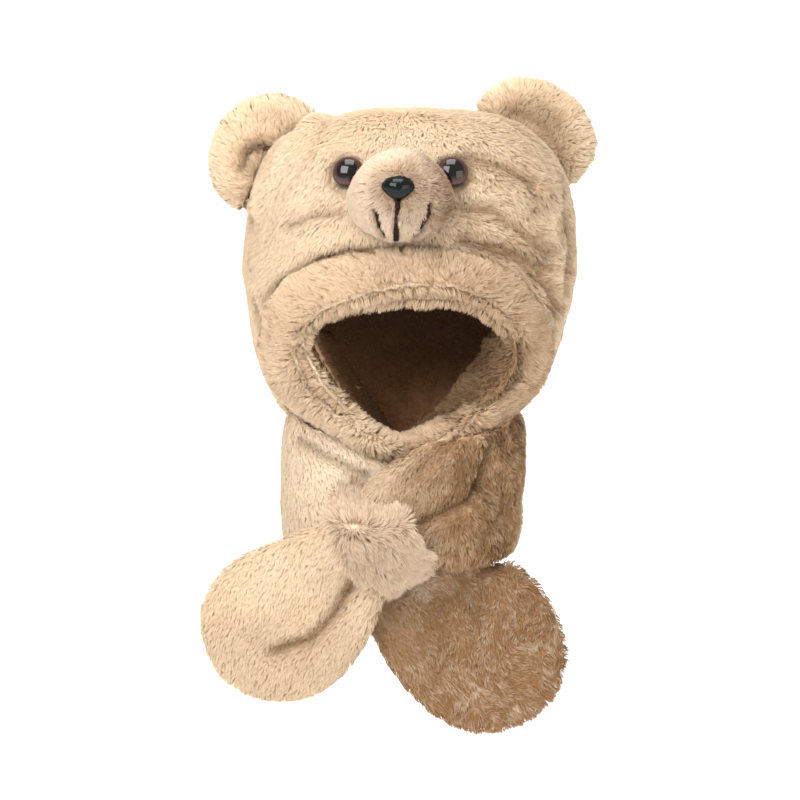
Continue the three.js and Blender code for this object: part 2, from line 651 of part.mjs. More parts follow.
function add(name, solid, material) {
  const { vertProperties, triVerts } = solid.getMesh();
  const geometry = new THREE.BufferGeometry();
  geometry.setAttribute("position", new THREE.BufferAttribute(vertProperties, 3));
  geometry.setIndex(new THREE.BufferAttribute(triVerts, 1));
  geometry.computeVertexNormals();
  const mesh = new THREE.Mesh(geometry, material);
  mesh.name = name;
  object.add(mesh);
}

const brimCut = makeBrim(seamGap);
const hoodCut = hoodBlock(-seamGap, facets.hood);
const windowCut = windowBlock();
const liningInset = hoodWall + seamGap;

const shell = hoodBlock(0, facets.hood).subtract(hoodBlock(hoodWall, facets.lining, hoodWall));
add("hood_shell", mainBody(minus(shell, windowCut, brimCut)), plush);
const lining = liningBlock(liningInset, 0).subtract(liningBlock(liningInset + liningWall, seamGap));
add("hood_lining", mainBody(minus(lining, windowCut, brimCut)), fleece);
add("face_brim", makeBrim(0), plush);
for (const ear of ears) add(ear.name, mainBody(minus(makeEar(ear), hoodCut)), plush);

const eyeCuts = [-1, 1].map((side) => makeEye(side, seamGap));
add("muzzle", mainBody(minus(makeMuzzle(), hoodCut, makeNose(seamGap), ...eyeCuts)), plush);
add("nose", makeNose(0), nosePlastic);
add("eye_right", mainBody(minus(makeEye(-1, 0), hoodCut)), eyePlastic);
add("eye_left", mainBody(minus(makeEye(1, 0), hoodCut)), eyePlastic);

const hemCut = hoodBlock(-seamGap, facets.hood, 2 * seamGap).add(liningBlock(hoodWall, seamGap));
const keeperCut = makeKeeper(seamGap);
const overCut = makeScarf(over, seamGap);
add("keeper_loop", mainBody(minus(makeKeeper(0), brimCut)), plush);
add("scarf_over", mainBody(minus(makeScarf(over, 0), keeperCut, brimCut, hemCut)), plush);
add("scarf_under", mainBody(minus(makeScarf(under, 0), overCut, keeperCut, brimCut, hemCut)), plush);

export default object;
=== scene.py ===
# %% [markdown]
# # A plush bear hood with a scarf sewn under it
# The real piece is cut from fur fabric: a soft backing with a thick pile of fibres, sewn over padding. Its
# shape comes from the padding and the folds, and its looks from the pile. So each piece here is built
# twice. First comes a skin, which is the padded cloth with its folds. Then comes the pile, which is many
# thin blades that grow from the skin. Blades could be Blender's hair, but a mesh keeps them for an export
# and for every other program.

import itertools
import math

import bpy
import numpy as np
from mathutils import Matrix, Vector
from mathutils.bvhtree import BVHTree
from mathutils.kdtree import KDTree


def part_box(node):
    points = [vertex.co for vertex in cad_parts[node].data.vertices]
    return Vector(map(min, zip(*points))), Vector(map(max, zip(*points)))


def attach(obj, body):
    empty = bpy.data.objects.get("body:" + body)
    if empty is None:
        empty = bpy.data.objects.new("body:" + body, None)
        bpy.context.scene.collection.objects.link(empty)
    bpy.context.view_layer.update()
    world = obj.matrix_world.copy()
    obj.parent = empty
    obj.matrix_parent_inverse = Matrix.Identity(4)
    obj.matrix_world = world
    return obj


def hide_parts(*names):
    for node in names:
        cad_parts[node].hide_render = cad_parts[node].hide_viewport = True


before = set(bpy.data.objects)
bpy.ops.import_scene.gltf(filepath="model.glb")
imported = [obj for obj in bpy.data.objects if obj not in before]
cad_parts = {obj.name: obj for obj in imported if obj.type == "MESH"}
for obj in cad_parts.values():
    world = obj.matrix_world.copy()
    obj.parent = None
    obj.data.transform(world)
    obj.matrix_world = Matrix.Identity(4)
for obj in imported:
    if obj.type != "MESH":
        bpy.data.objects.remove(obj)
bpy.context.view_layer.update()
scene = bpy.context.scene
MM = 0.001
print("nodes:", ", ".join(sorted(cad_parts)))

# %% [markdown]
# ## The camera
# The camera stands two metres in front, a little above the middle of the piece, with a long lens. A long
# lens keeps the hood and the scarf in the same proportions. The folds below are placed as this camera sees
# them, so it is made first.

# %% The camera
aim = Vector((-7.2, -60, -201.7)) * MM
stand_off = 2.0
rise = math.radians(2)
camera = bpy.data.objects.new("camera", bpy.data.cameras.new("camera"))
camera.data.lens = 125
camera.location = aim + Vector((0, -math.cos(rise), math.sin(rise))) * stand_off
camera.rotation_mode = "QUATERNION"
camera.rotation_quaternion = (aim - camera.location).to_track_quat("-Z", "Y")
scene.collection.objects.link(camera)
scene.camera = camera
PICTURE = 800


def sight(across, down):
    """The direction in which the camera sees a place of its picture, counted from the upper left corner."""
    half = camera.data.sensor_width / 2 / camera.data.lens
    place = Vector(((2 * across / PICTURE - 1) * half, (1 - 2 * down / PICTURE) * half, -1))
    return camera.rotation_quaternion @ place


def in_picture(points):
    """Where the camera sees each point: across and down from the upper left corner."""
    turned = (points - np.array(camera.location)) @ np.array(camera.rotation_quaternion.to_matrix())
    half = camera.data.sensor_width / 2 / camera.data.lens
    across, up = turned[:, 0] / -turned[:, 2] / half, turned[:, 1] / -turned[:, 2] / half
    return np.stack([(1 + across) / 2, (1 - up) / 2], axis=1) * PICTURE


picture_width = stand_off / MM * camera.data.sensor_width / camera.data.lens
print("the picture is", round(picture_width), "mm wide where the camera aims")

# %% [markdown]
# ## Light and stage
# A studio picture of plush has one large soft lamp, here at the upper left, which runs along the pile and
# shows its texture. A weaker one fills the shade at the right. The floor turns up into a wall behind, so
# that no edge shows.

# %% Lamps
scene.view_settings.view_transform = "Standard"
WARM = (1, 0.985, 0.96)


def lamp(name, place, size, power, tint=(1, 1, 1)):
    """A square lamp that faces what the camera aims at. Its size is in metres and its power in watts."""
    data = bpy.data.lights.new(name, "AREA")
    data.size = size
    data.energy = power
    data.color = tint
    made = bpy.data.objects.new(name, data)
    made.location = place
    made.rotation_mode = "QUATERNION"
    made.rotation_quaternion = (aim - made.location).to_track_quat("-Z", "Y")
    scene.collection.objects.link(made)


lamp("key lamp", (-0.92, -1.68, 0.85), size=1.2, power=50, tint=WARM)
lamp("fill lamp", (1.5, -1.7, -0.1), size=1.5, power=22, tint=WARM)
lamp("top lamp", (-0.05, -0.55, 1.35), size=1.0, power=24)
world = bpy.data.worlds.new("studio")
scene.world = world
world.use_nodes = True
world.node_tree.nodes["Background"].inputs["Color"].default_value = (1, 1, 1, 1)
world.node_tree.nodes["Background"].inputs["Strength"].default_value = 0.6

# %% The floor and the wall behind


def pale_stage(depth_front, depth_back, floor_level, wall_top, bend, half_width):
    """A floor that turns up into a wall through a quarter circle."""
    profile = [(-depth_front, floor_level)]
    for angle in np.linspace(0, math.pi / 2, 13):
        along, up = bend * math.sin(angle), bend - bend * math.cos(angle)
        profile.append((depth_back - bend + along, floor_level + up))
    profile.append((depth_back, wall_top))
    points = [(x, y, z) for x in (-half_width, half_width) for y, z in profile]
    count = len(profile)
    faces = [(i, i + count, i + count + 1, i + 1) for i in range(count - 1)]
    mesh = bpy.data.meshes.new("stage")
    mesh.from_pydata(points, [], faces)
    mesh.polygons.foreach_set("use_smooth", [True] * len(faces))
    made = bpy.data.objects.new("stage", mesh)
    scene.collection.objects.link(made)
    return made


stage = pale_stage(depth_front=6, depth_back=2.2, floor_level=-0.62, wall_top=3.5, bend=0.8, half_width=6)
paper = bpy.data.materials.new("pale paper")
paper.use_nodes = True
paper_shader = paper.node_tree.nodes["Principled BSDF"]
paper_shader.inputs["Roughness"].default_value = 0.9
paper_shader.inputs["Specular IOR Level"].default_value = 0.1
paper_shader.inputs["Emission Strength"].default_value = 0.34
paper_tree = paper.node_tree
mottle = paper_tree.nodes.new("ShaderNodeTexNoise")
mottle.inputs["Scale"].default_value = 3
ramp = paper_tree.nodes.new("ShaderNodeValToRGB")
ramp.color_ramp.elements[0].color = (0.93, 0.93, 0.93, 1)
ramp.color_ramp.elements[1].color = (0.96, 0.96, 0.955, 1)
paper_tree.links.new(mottle.outputs["Fac"], ramp.inputs["Fac"])
paper_tree.links.new(ramp.outputs["Color"], paper_shader.inputs["Base Color"])
paper_tree.links.new(ramp.outputs["Color"], paper_shader.inputs["Emission Color"])
stage.data.materials.append(paper)

# %% [markdown]
# ## Helpers that work on whole meshes at once
# Plush needs many thousands of points, and a Python loop over them is slow. These helpers move all the
# points of a mesh in one go with numpy. The noise is a table of random numbers that is blended smoothly
# between its places, and a fixed seed makes it the same on every run.

# %% Points, normals and smooth noise


def read(items, name, width, kind=np.float32):
    found = np.empty(len(items) * width, kind)
    items.foreach_get(name, found)
    return found.reshape(-1, width)


def points_of(mesh):
    return read(mesh.vertices, "co", 3).astype(float)


def move_points(mesh, points):
    mesh.vertices.foreach_set("co", points.astype(np.float32).ravel())
    mesh.update()


def normals_of(mesh):
    return read(mesh.vertex_normals, "vector", 3).astype(float)


def unit(vectors):
    return vectors / np.maximum(np.linalg.norm(vectors, axis=-1, keepdims=True), 1e-9)


def keep(mesh, name, values):
    """Stores one number for each point under a name that a material can read."""
    layer = mesh.attributes.new(name, "FLOAT", "POINT")
    layer.data.foreach_set("value", np.asarray(values, np.float32))


def kept(mesh, name):
    return read(mesh.attributes[name].data, "value", 1)[:, 0]


def nearest(places):
    """A tree that finds the nearest of some places."""
    tree = KDTree(len(places))
    for index, place in enumerate(places):
        tree.insert(place, index)
    tree.balance()
    return tree


def surface(mesh):
    """A tree that finds where a ray meets a mesh."""
    faces = [tuple(face.vertices) for face in mesh.polygons]
    return BVHTree.FromPolygons([tuple(place) for place in points_of(mesh)], faces)


NOISE_CELLS = 32
noise_table = np.random.default_rng(11).uniform(-1, 1, (NOISE_CELLS,) * 3 + (3,))


def drift(points, size, offset=0.0):
    """Three channels of smooth noise from about -1 to 1, with features of the given size in metres."""
    at = points / size + offset
    low = np.floor(at).astype(int)
    part = at - low
    part = part * part * (3 - 2 * part)
    total = 0
    for corner in itertools.product((0, 1), repeat=3):
        weight = np.prod(np.where(corner, part, 1 - part), axis=1)
        cell = (low + corner) % NOISE_CELLS
        total = total + weight[:, None] * noise_table[cell[:, 0], cell[:, 1], cell[:, 2]]
    return total


# %% [markdown]
# ## Skins
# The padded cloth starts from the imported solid, so that it sits where the solid is. A voxel remesh gives it
# even small faces, and smoothing rounds the solid's facets off. It is then drawn in by about the length of
# the pile, so that the tips of the pile end where the solid ends. Cushions get the same start before a
# cloth simulation.

# %% Even, smooth, drawn-in skins


def relaxed(mesh, steps, share=0.5):
    """Moves each point towards the middle of its neighbours."""
    points = points_of(mesh)
    edges = read(mesh.edges, "vertices", 2, np.int32)
    a, b = np.concatenate([edges, edges[:, ::-1]]).T
    count = np.maximum(np.bincount(a, minlength=len(points)), 1)[:, None]
    for _ in range(steps):
        total = np.stack([np.bincount(a, points[b, k], len(points)) for k in range(3)], axis=1)
        points += share * (total / count - points)
    move_points(mesh, points)


def built(made):
    """Turns an object's modifiers into a smooth mesh of its own, and returns that."""
    bpy.context.view_layer.update()
    mesh = bpy.data.meshes.new_from_object(made.evaluated_get(bpy.context.evaluated_depsgraph_get()))
    made.modifiers.clear()
    made.data = mesh
    mesh.polygons.foreach_set("use_smooth", [True] * len(mesh.polygons))
    return mesh


def joined(nodes):
    """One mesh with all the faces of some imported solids."""
    points, faces = [], []
    for node in nodes:
        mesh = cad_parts[node].data
        faces += [tuple(len(points) + i for i in face.vertices) for face in mesh.polygons]
        points += [tuple(vertex.co) for vertex in mesh.vertices]
    made = bpy.data.meshes.new("joined")
    made.from_pydata(points, [], faces)
    return made


def skin_of(nodes, name, voxel, inset, smoothing):
    """Some solids' shape as one new object, with faces of a voxel's size, drawn in by inset. All in mm."""
    made = bpy.data.objects.new(name, joined(nodes))
    scene.collection.objects.link(made)
    remesh = made.modifiers.new("even faces", "REMESH")
    remesh.mode = "VOXEL"
    remesh.voxel_size = voxel * MM
    even = built(made)
    relaxed(even, smoothing)
    move_points(even, points_of(even) - normals_of(even) * inset * MM)
    relaxed(even, 2)
    print(name, "has", len(even.polygons), "faces")
    return made


# %% [markdown]
# ## Folds
# A fold in plush is a soft valley with a full roll on each side. Each fold is a line of places in the
# camera's picture. It is pressed on the skin by looking along the camera's sight, so it always lies on the
# cloth. Points near the line sink, and those a little further away swell. How near each point lies is kept
# as the attribute fold, which makes the pile shorter there and paints shade on the pile and its backing.

# %% Press folds into a skin

FRONT = 0.03  # what lies further back is seen through the face opening, and takes no fold
FOLD_REACH = 3.2  # how far a fold works, in its widths
ROLL_AWAY, ROLL_WIDTH, ROLL_HEIGHT = 1.7, 0.75, 0.45  # the roll beside a fold, in its widths and depths
# the painted shade of a fold is strongest from this depth on
FULL_FOLD = 5  # from this depth, in mm, a fold is as dark as it gets


def on_skin(tree, line, spacing=1.5, front=FRONT):
    """Places on the skin that the camera sees along a line of its picture, spacing apart in the picture."""
    found = []
    for (x0, y0), (x1, y1) in zip(line, line[1:]):
        steps = max(1, int(math.hypot(x1 - x0, y1 - y0) / spacing))
        for step in range(steps + 1):
            share = step / steps
            ray = sight(x0 + (x1 - x0) * share, y0 + (y1 - y0) * share).normalized()
            place = tree.ray_cast(camera.location, ray)[0]
            if place is not None and place.y < front:
                found.append(place)
    return found


def press_folds(skin, folds, lumps, front=FRONT):
    """Presses folds in, each with a width and a depth in mm. lumps is the height of the padding's lumps."""
    mesh = skin.data
    points, normals = points_of(mesh), normals_of(mesh)
    tree = surface(mesh)
    fold = np.zeros(len(points))
    lift = drift(points, 0.034)[:, 0] * lumps + drift(points, 0.015, 7.3)[:, 1] * lumps * 0.5
    for row in folds:
        places = on_skin(tree, row["line"], front=front)
        if not places:
            print("no place on", skin.name, "for a fold")
            continue
        line = nearest(places)
        spread = np.array([tuple(place) for place in places])
        middle = spread.mean(axis=0)
        radius = np.linalg.norm(spread - middle, axis=1).max() + FOLD_REACH * row["width"] * MM
        close = np.nonzero(np.linalg.norm(points - middle, axis=1) < radius)[0]
        away = np.array([line.find(points[i])[2] for i in close]) / (row["width"] * MM)
        valley = np.exp(-(away**2))
        roll = np.exp(-(((away - ROLL_AWAY) / ROLL_WIDTH) ** 2))
        lift[close] += row["depth"] * (ROLL_HEIGHT * roll - valley)
        fold[close] = np.maximum(fold[close], valley * np.clip(row["depth"] / FULL_FOLD, 0, 1))
    move_points(mesh, points + normals * lift[:, None] * MM)
    relaxed(mesh, 1)
    keep(mesh, "fold", fold)
    print(skin.name, "folded by up to", round(float(-lift.min()), 1), "mm")


def shade_fold(mesh, values):
    """Paints shade on the pile and its backing, and makes the pile shorter, at some points, as in a fold,
    without moving them.
    """
    darker = np.maximum(kept(mesh, "fold"), values).astype(np.float32)
    mesh.attributes["fold"].data.foreach_set("value", darker)


# %% Nudge a part of a skin


def nudge(skin, line, reach, by):
    """Moves what the camera sees near a line of its picture. reach is in the picture, and by is in mm."""
    points = points_of(skin.data)
    seen = in_picture(points)
    away = np.full(len(points), np.inf)
    for start, end in zip(np.array(line, float), np.array(line[1:], float)):
        way = end - start
        share = np.clip((seen - start) @ way / (way @ way), 0, 1)
        away = np.minimum(away, np.linalg.norm(seen - start - share[:, None] * way, axis=1))
    move_points(skin.data, points + np.exp(-((away / reach) ** 2))[:, None] * np.array(by) * MM)


# %% [markdown]
# ## The pile
# Each blade is a narrow kite of two triangles that leaves the skin, bends over at its middle and ends in a
# point. All blades of a piece lie roughly the same way, which is called the nap, and noise turns them a
# little. Fibres also stick together in tufts, so each blade leans towards the nearest tuft's middle. A kite
# is flat, but it takes most of its normal from the skin, so a patch of blades is lit as one soft surface.
# Where the nap was brushed up, the blades turn and roll more, and a number called tint says how much
# painted shade each blade shows: most on the side away from the main lamp, with some random tone.

# %% Where the blades stand

MIDDLE = 0.5  # where a blade is widest and bends, as a share of its length
ROOTED = 0.8  # how deep a blade's root is set into the skin, in mm


def sampled(skin, count, density, rng, bare):
    """Random places on the skin, with its normal and fold there.

    density says how thick the pile is on each face, and where the fold is deeper than bare, nothing grows.
    """
    mesh = skin.data
    mesh.calc_loop_triangles()
    corners = read(mesh.loop_triangles, "vertices", 3, np.int32)
    points, normals = points_of(mesh), normals_of(mesh)
    fold = kept(mesh, "fold")
    a, b, c = (points[corners[:, k]] for k in range(3))
    area = np.linalg.norm(np.cross(b - a, c - a), axis=1)
    middle_normal = unit(normals[corners].sum(axis=1))
    weight = area * density((a + b + c) / 3, middle_normal) * (fold[corners].mean(axis=1) < bare)
    picked = np.sort(rng.choice(len(corners), count, p=weight / weight.sum()))
    u, v = rng.random((2, count))
    beyond = u + v > 1
    u[beyond], v[beyond] = 1 - u[beyond], 1 - v[beyond]
    shares = np.stack([1 - u - v, u, v], axis=1)

    def blend(values):
        return (values[corners[picked]] * shares[:, :, None]).sum(axis=1)

    return blend(points), unit(blend(normals)), blend(fold[:, None])[:, 0]


def pull_together(roots, middles, tips, tuft_size, share, rng):
    """Draws the blades towards the nearest tuft's middle blade, and their tips most."""
    tufts = max(8, int(len(roots) / tuft_size))
    chosen = rng.choice(len(roots), tufts, replace=False)
    near = nearest(roots[chosen])
    mate = chosen[[near.find(place)[1] for place in roots]]
    share = share[:, None]
    return middles + (middles[mate] - middles) * share * MIDDLE, tips + (tips[mate] - tips) * share, mate


# %% A mesh of many blades


def lay_out(mesh, count):
    """Gives each blade a small place of its own on a map, with its root at the bottom, for a later bake."""
    columns = int(math.ceil(math.sqrt(4 * count)))
    lines = int(math.ceil(count / columns))
    index = np.arange(count)
    column, line = (index % columns)[:, None], (index // columns)[:, None]
    u = (column + np.array([0.5, 0.85, 0.15, 0.15, 0.85, 0.5])) / columns
    v = (line + np.array([0.06, MIDDLE, MIDDLE, MIDDLE, MIDDLE, 0.94])) / lines
    places = mesh.uv_layers.new(name="OFBake")
    places.uv.foreach_set("vector", np.stack([u, v], axis=2).astype(np.float32).ravel())


def kites(name, rows):
    """A mesh of blades. rows holds all the roots, all the middles' two edges in turn, and all the tips."""
    count = len(rows[0])
    points = np.stack(rows, axis=1).reshape(-1, 3)
    corners = (np.arange(count)[:, None] * 4 + np.array([0, 1, 2, 2, 1, 3])).ravel()
    mesh = bpy.data.meshes.new(name)
    mesh.vertices.add(len(points))
    mesh.vertices.foreach_set("co", points.astype(np.float32).ravel())
    mesh.loops.add(len(corners))
    mesh.loops.foreach_set("vertex_index", corners.astype(np.int32))
    mesh.polygons.add(2 * count)
    mesh.polygons.foreach_set("loop_start", np.arange(0, 6 * count, 3, dtype=np.int32))
    mesh.update(calc_edges=True)
    mesh.polygons.foreach_set("use_smooth", np.ones(2 * count, bool))
    keep(mesh, "along", np.tile([0, MIDDLE, MIDDLE, 1.0], count))
    lay_out(mesh, count)
    return mesh


# %% How the pile differs from place to place


def everywhere(points, normals):
    return np.ones(len(points))


def same(value):
    return lambda points: np.full(len(points), value)


def one_way(*way):
    return lambda points, normals: np.tile(way, (len(points), 1))


def rougher_in_the_shade(points):
    """How much the nap wanders: the wearer's left side, away from the main lamp, was brushed up more."""
    return np.interp(points[:, 0], [-0.03, 0.055], [0.2, 0.95])


def shade_away_from_lamp(points):
    """How much painted shade the pile shows, most at the wearer's left and below, away from the main lamp."""
    across = points[:, 0] - 0.35 * np.clip(points[:, 2] + 0.12, 0, 1)
    return np.interp(across, [-0.08, -0.03, 0.0, 0.05], [0.0, 0.12, 0.4, 0.8])


# a share of that painted shade
def part_of_side_shade(share):
    return lambda points: shade_away_from_lamp(points) * share


# %% Grow a pile on a skin


def grow(
    name,
    skin,
    count,
    length,
    width,
    nap,
    lean,
    seed,
    density,
    ruffle=rougher_in_the_shade,
    shade_share=shade_away_from_lamp,
    shorter=same(1.0),
    tufting=0.35,
    tuft_size=16,
    bare=2,
):
    """A piece of blades on a skin. length and width are in mm, and lean is in degrees from the normal.

    nap gives the way of the blades. ruffle, the painted shade share and shorter say how much the nap wanders,
    how much painted shade the pile shows and how short it is, each from the places of the roots. Nothing
    grows in a fold deeper than bare, and no fold is as deep as 2.
    """
    rng = np.random.default_rng(seed)
    roots, normals, fold = sampled(skin, count, density, rng, bare)
    # the skin's backing takes the painted shade of its first pile
    if "tint" not in skin.data.attributes:
        keep(skin.data, "tint", np.clip(shade_share(points_of(skin.data)), 0, 1))
    rough = ruffle(roots)

    # which way each blade lies, and how far it leans
    lie = nap(roots, normals)
    lie = unit(lie - (lie * normals).sum(axis=1, keepdims=True) * normals)
    side = np.cross(lie, normals)
    turn = rough * (1.2 * drift(roots, 0.019, 3.1)[:, 0] + 0.9 * drift(roots, 0.006, 5.7)[:, 1])
    turn += rng.normal(0, 0.2, count)
    lie = lie * np.cos(turn)[:, None] + side * np.sin(turn)[:, None]
    wave = drift(roots, 0.01, 9.2)[:, 2] * rough
    flatter = np.interp(rough, [0.2, 0.7], [15, 0])
    tilt = np.clip(np.radians(lean + flatter + 15 * wave + rng.normal(0, 5, count)), 0.1, 1.3)

    # its length, its bend and its tuft
    long = length * MM * rng.uniform(0.8, 1.12, count) * (1 + 0.12 * drift(roots, 0.016, 2.4)[:, 1])
    long *= shorter(roots) * (1 - 0.55 * fold)

    def bend(share):
        return normals * np.cos(tilt * share)[:, None] + lie * np.sin(tilt * share)[:, None]

    middles = roots + bend(0.75) * (long * MIDDLE)[:, None]
    tips = middles + bend(1.2) * (long * (1 - MIDDLE))[:, None]
    pull = tufting * rng.uniform(0.5, 1.2, count) * np.interp(rough, [0.1, 0.5], [0.2, 1.0])
    middles, tips, mate = pull_together(roots, middles, tips, tuft_size, pull, rng)

    # its flat side
    roll = rng.normal(0, 0.35, count) * np.interp(rough, [0.2, 0.8], [0.35, 1.0])
    across = unit(np.cross(tips - roots, normals))
    across = unit(across * np.cos(roll)[:, None] + normals * np.sin(roll)[:, None])
    half = (width * MM / 2 * rng.uniform(0.75, 1.25, count))[:, None]
    rooted = roots - normals * ROOTED * MM
    mesh = kites(name, [rooted, middles + across * half, middles - across * half, tips])

    # its colour: painted shade away from the lamp, some random tone, and painted shade in folds
    uneven = 0.14 * drift(roots, 0.013, 4.2)[:, 0] + 0.16 * drift(roots, 0.005, 6.2)[:, 0]
    uneven += 0.16 * rng.uniform(-1, 1, count)[mate]
    tint = shade_share(roots) + uneven * rough + (0.03 + 0.22 * rough) * rng.uniform(-1, 1, count)
    keep(mesh, "tint", np.repeat(np.clip(tint, 0, 1), 4))
    keep(mesh, "fold", np.repeat(fold, 4))

    # how it takes the light
    flat = unit(np.cross(across, tips - roots))
    flat *= np.sign((flat * normals).sum(axis=1, keepdims=True))
    turned = np.interp(rough, [0.2, 0.8], [0.12, 0.3])[:, None]
    soft = unit(0.75 * normals + turned * flat + 0.12 * lie + rng.normal(0, 0.04, (count, 3)))
    mesh.normals_split_custom_set_from_vertices(np.repeat(soft, 4, axis=0).astype(np.float32))
    made = bpy.data.objects.new(name, mesh)
    scene.collection.objects.link(made)
    print(name, "has", count, "blades")
    return made


# %% [markdown]
# ## Materials of the plush
# A fibre is painted dark near its root, as the shade where little light reaches, and paler at its tip, and
# dye is never quite even. The group also paints shade in the folds and on the side away from the main
# lamp, in one colour of painted shade. That is one effect that all the pile shares, so it is a node group
# with its own sockets, placed in each material with that material's colours. Fibres are thin and let light
# through, so a share of the light comes from behind, and the undersides of the blades are not black. The
# backing under the pile takes the same tint, painted shade included, as the pile, and only shows where the
# pile parts.

# %% The group of nodes that colours the pile


def colour_socket(group, name, value):
    made = group.interface.new_socket(name, in_out="INPUT", socket_type="NodeSocketColor")
    made.default_value = (*value, 1)


def value_socket(group, name, value):
    made = group.interface.new_socket(name, in_out="INPUT", socket_type="NodeSocketFloat")
    made.default_value = value


UNEVEN_DYE = (0.86, 0.74, 0.6, 1)  # what the pale colours are multiplied by in the darker patches


def pile_colour_group():
    group = bpy.data.node_groups.new("pile colour", "ShaderNodeTree")
    colour_socket(group, "Root", (0.2, 0.12, 0.06))
    colour_socket(group, "Middle", (0.5, 0.33, 0.19))
    colour_socket(group, "Tip", (0.8, 0.6, 0.42))
    colour_socket(group, "Painted Shade", (0.3, 0.16, 0.08))
    value_socket(group, "Patch Size", 18)
    value_socket(group, "Fold Shade", 0.6)
    group.interface.new_socket("Colour", in_out="OUTPUT", socket_type="NodeSocketColor")
    nodes, links = group.nodes, group.links
    given, result = nodes.new("NodeGroupInput"), nodes.new("NodeGroupOutput")

    def attribute(name):
        made = nodes.new("ShaderNodeAttribute")
        made.attribute_name = name
        return made.outputs["Fac"]

    def feed(socket, value):
        if isinstance(value, (int, float, tuple)):
            socket.default_value = value
        else:
            links.new(value, socket)

    def maths(kind, a, b):
        made = nodes.new("ShaderNodeMath")
        made.operation = kind
        made.use_clamp = True
        feed(made.inputs[0], a)
        feed(made.inputs[1], b)
        return made.outputs[0]

    def mixed(share, a, b, blend="MIX"):
        made = nodes.new("ShaderNodeMix")
        made.data_type = "RGBA"
        made.blend_type = blend
        for socket, value in ((made.inputs[0], share), (made.inputs[6], a), (made.inputs[7], b)):
            feed(socket, value)
        return made.outputs[2]

    patch = nodes.new("ShaderNodeTexNoise")
    patch.inputs["Detail"].default_value = 3
    links.new(given.outputs["Patch Size"], patch.inputs["Scale"])
    where = nodes.new("ShaderNodeTexCoord")
    links.new(where.outputs["Object"], patch.inputs["Vector"])
    along, tint, fold = attribute("along"), attribute("tint"), attribute("fold")
    lower = mixed(maths("MULTIPLY", along, 1.8), given.outputs["Root"], given.outputs["Middle"])
    upper = maths("MULTIPLY", maths("SUBTRACT", along, 0.35), 1.55)
    fibre = mixed(upper, lower, given.outputs["Tip"])
    # mixes in the painted shade colour by tint: shade away from the lamp, with some random tone
    dye_and_side_shade = mixed(tint, fibre, given.outputs["Painted Shade"])
    shifted = maths("ADD", maths("MULTIPLY", patch.outputs["Fac"], 1.5), -0.45)
    patched = mixed(maths("MULTIPLY", shifted, 0.3), dye_and_side_shade, UNEVEN_DYE, "MULTIPLY")
    # painted shade in the folds
    shade = maths("MULTIPLY", fold, given.outputs["Fold Shade"])
    with_fold_shade = mixed(shade, patched, given.outputs["Painted Shade"])
    links.new(with_fold_shade, result.inputs["Colour"])
    return group


pile_colour = pile_colour_group()
THROUGH = 0.45  # the share of the light on a fibre that shines through to its other side


def pile_material(name, root, middle, tip, deep, patch=18, fold_shade=0.8):
    """A material for blades, with the colours of a fibre's root, middle and tip, and of the painted shade in
    creases and away from the lamp.
    """
    made = bpy.data.materials.new(name)
    made.use_nodes = True
    tree = made.node_tree
    shader = tree.nodes["Principled BSDF"]
    shader.inputs["Roughness"].default_value = 1.0
    shader.inputs["Specular IOR Level"].default_value = 0.0
    coloured = tree.nodes.new("ShaderNodeGroup")
    coloured.node_tree = pile_colour
    for socket, value in (("Root", root), ("Middle", middle), ("Tip", tip), ("Painted Shade", deep)):
        coloured.inputs[socket].default_value = (*value, 1)
    coloured.inputs["Patch Size"].default_value = patch
    coloured.inputs["Fold Shade"].default_value = fold_shade
    tree.links.new(coloured.outputs["Colour"], shader.inputs["Base Color"])
    through = tree.nodes.new("ShaderNodeBsdfTranslucent")
    both = tree.nodes.new("ShaderNodeMixShader")
    both.inputs[0].default_value = THROUGH
    tree.links.new(coloured.outputs["Colour"], through.inputs["Color"])
    tree.links.new(shader.outputs[0], both.inputs[1])
    tree.links.new(through.outputs[0], both.inputs[2])
    tree.links.new(both.outputs[0], tree.nodes["Material Output"].inputs["Surface"])
    return made


PAINTED_SHADE = (0.345, 0.196, 0.09)
MUZZLE_PAINTED_SHADE = (0.27, 0.15, 0.07)
tan_pile = pile_material("tan pile", (0.68, 0.53, 0.36), (0.72, 0.57, 0.395), (0.87, 0.745, 0.58), PAINTED_SHADE)
# a paler copy of the tan pile: painted light that makes up for the hood's shade on the collar
collar_pile_lit = pile_material("collar pile with painted light", (0.77, 0.64, 0.48), (0.83, 0.71, 0.55), (0.94, 0.85, 0.72), PAINTED_SHADE)
brim_pile = pile_material("brim pile", (0.52, 0.385, 0.26), (0.62, 0.47, 0.32), (0.8, 0.655, 0.49), PAINTED_SHADE)
muzzle_pile = pile_material(
    "muzzle pile",
    (0.5, 0.37, 0.25),
    (0.7, 0.56, 0.42),
    (0.86, 0.74, 0.6),
    MUZZLE_PAINTED_SHADE,
    patch=40,
    fold_shade=1.0,
)
keeper_pile = pile_material(
    "keeper pile", (0.36, 0.26, 0.17), (0.62, 0.48, 0.35), (0.82, 0.69, 0.55), PAINTED_SHADE, patch=40
)
# the facings' plush: darker copies of the tan pile, painted as the shade inside the opening
facing_left_shaded_pile = pile_material(
    "left facing pile in painted shade", (0.22, 0.14, 0.08), (0.31, 0.205, 0.115), (0.41, 0.28, 0.165), (0.16, 0.09, 0.045)
)
facing_right_shaded_pile = pile_material(
    "right facing pile in painted shade", (0.1, 0.052, 0.026), (0.16, 0.086, 0.043), (0.22, 0.12, 0.062), (0.05, 0.025, 0.012)
)
# the lining's pile, painted darker as the shade inside the hood
lining_pile = pile_material(
    "lining pile", (0.4, 0.21, 0.1), (0.6, 0.33, 0.17), (0.72, 0.42, 0.23), (0.1, 0.045, 0.02)
)

# %% The backing under the pile

# painted shade at the bottom of a fold on the backing
PAINTED_FOLD_SHADE = 0.25  # what is left of a backing's dark colour at the bottom of a fold
# the backing's painted shade away from the lamp
BACKING_PAINTED_SHADE = (0.36, 0.215, 0.115)


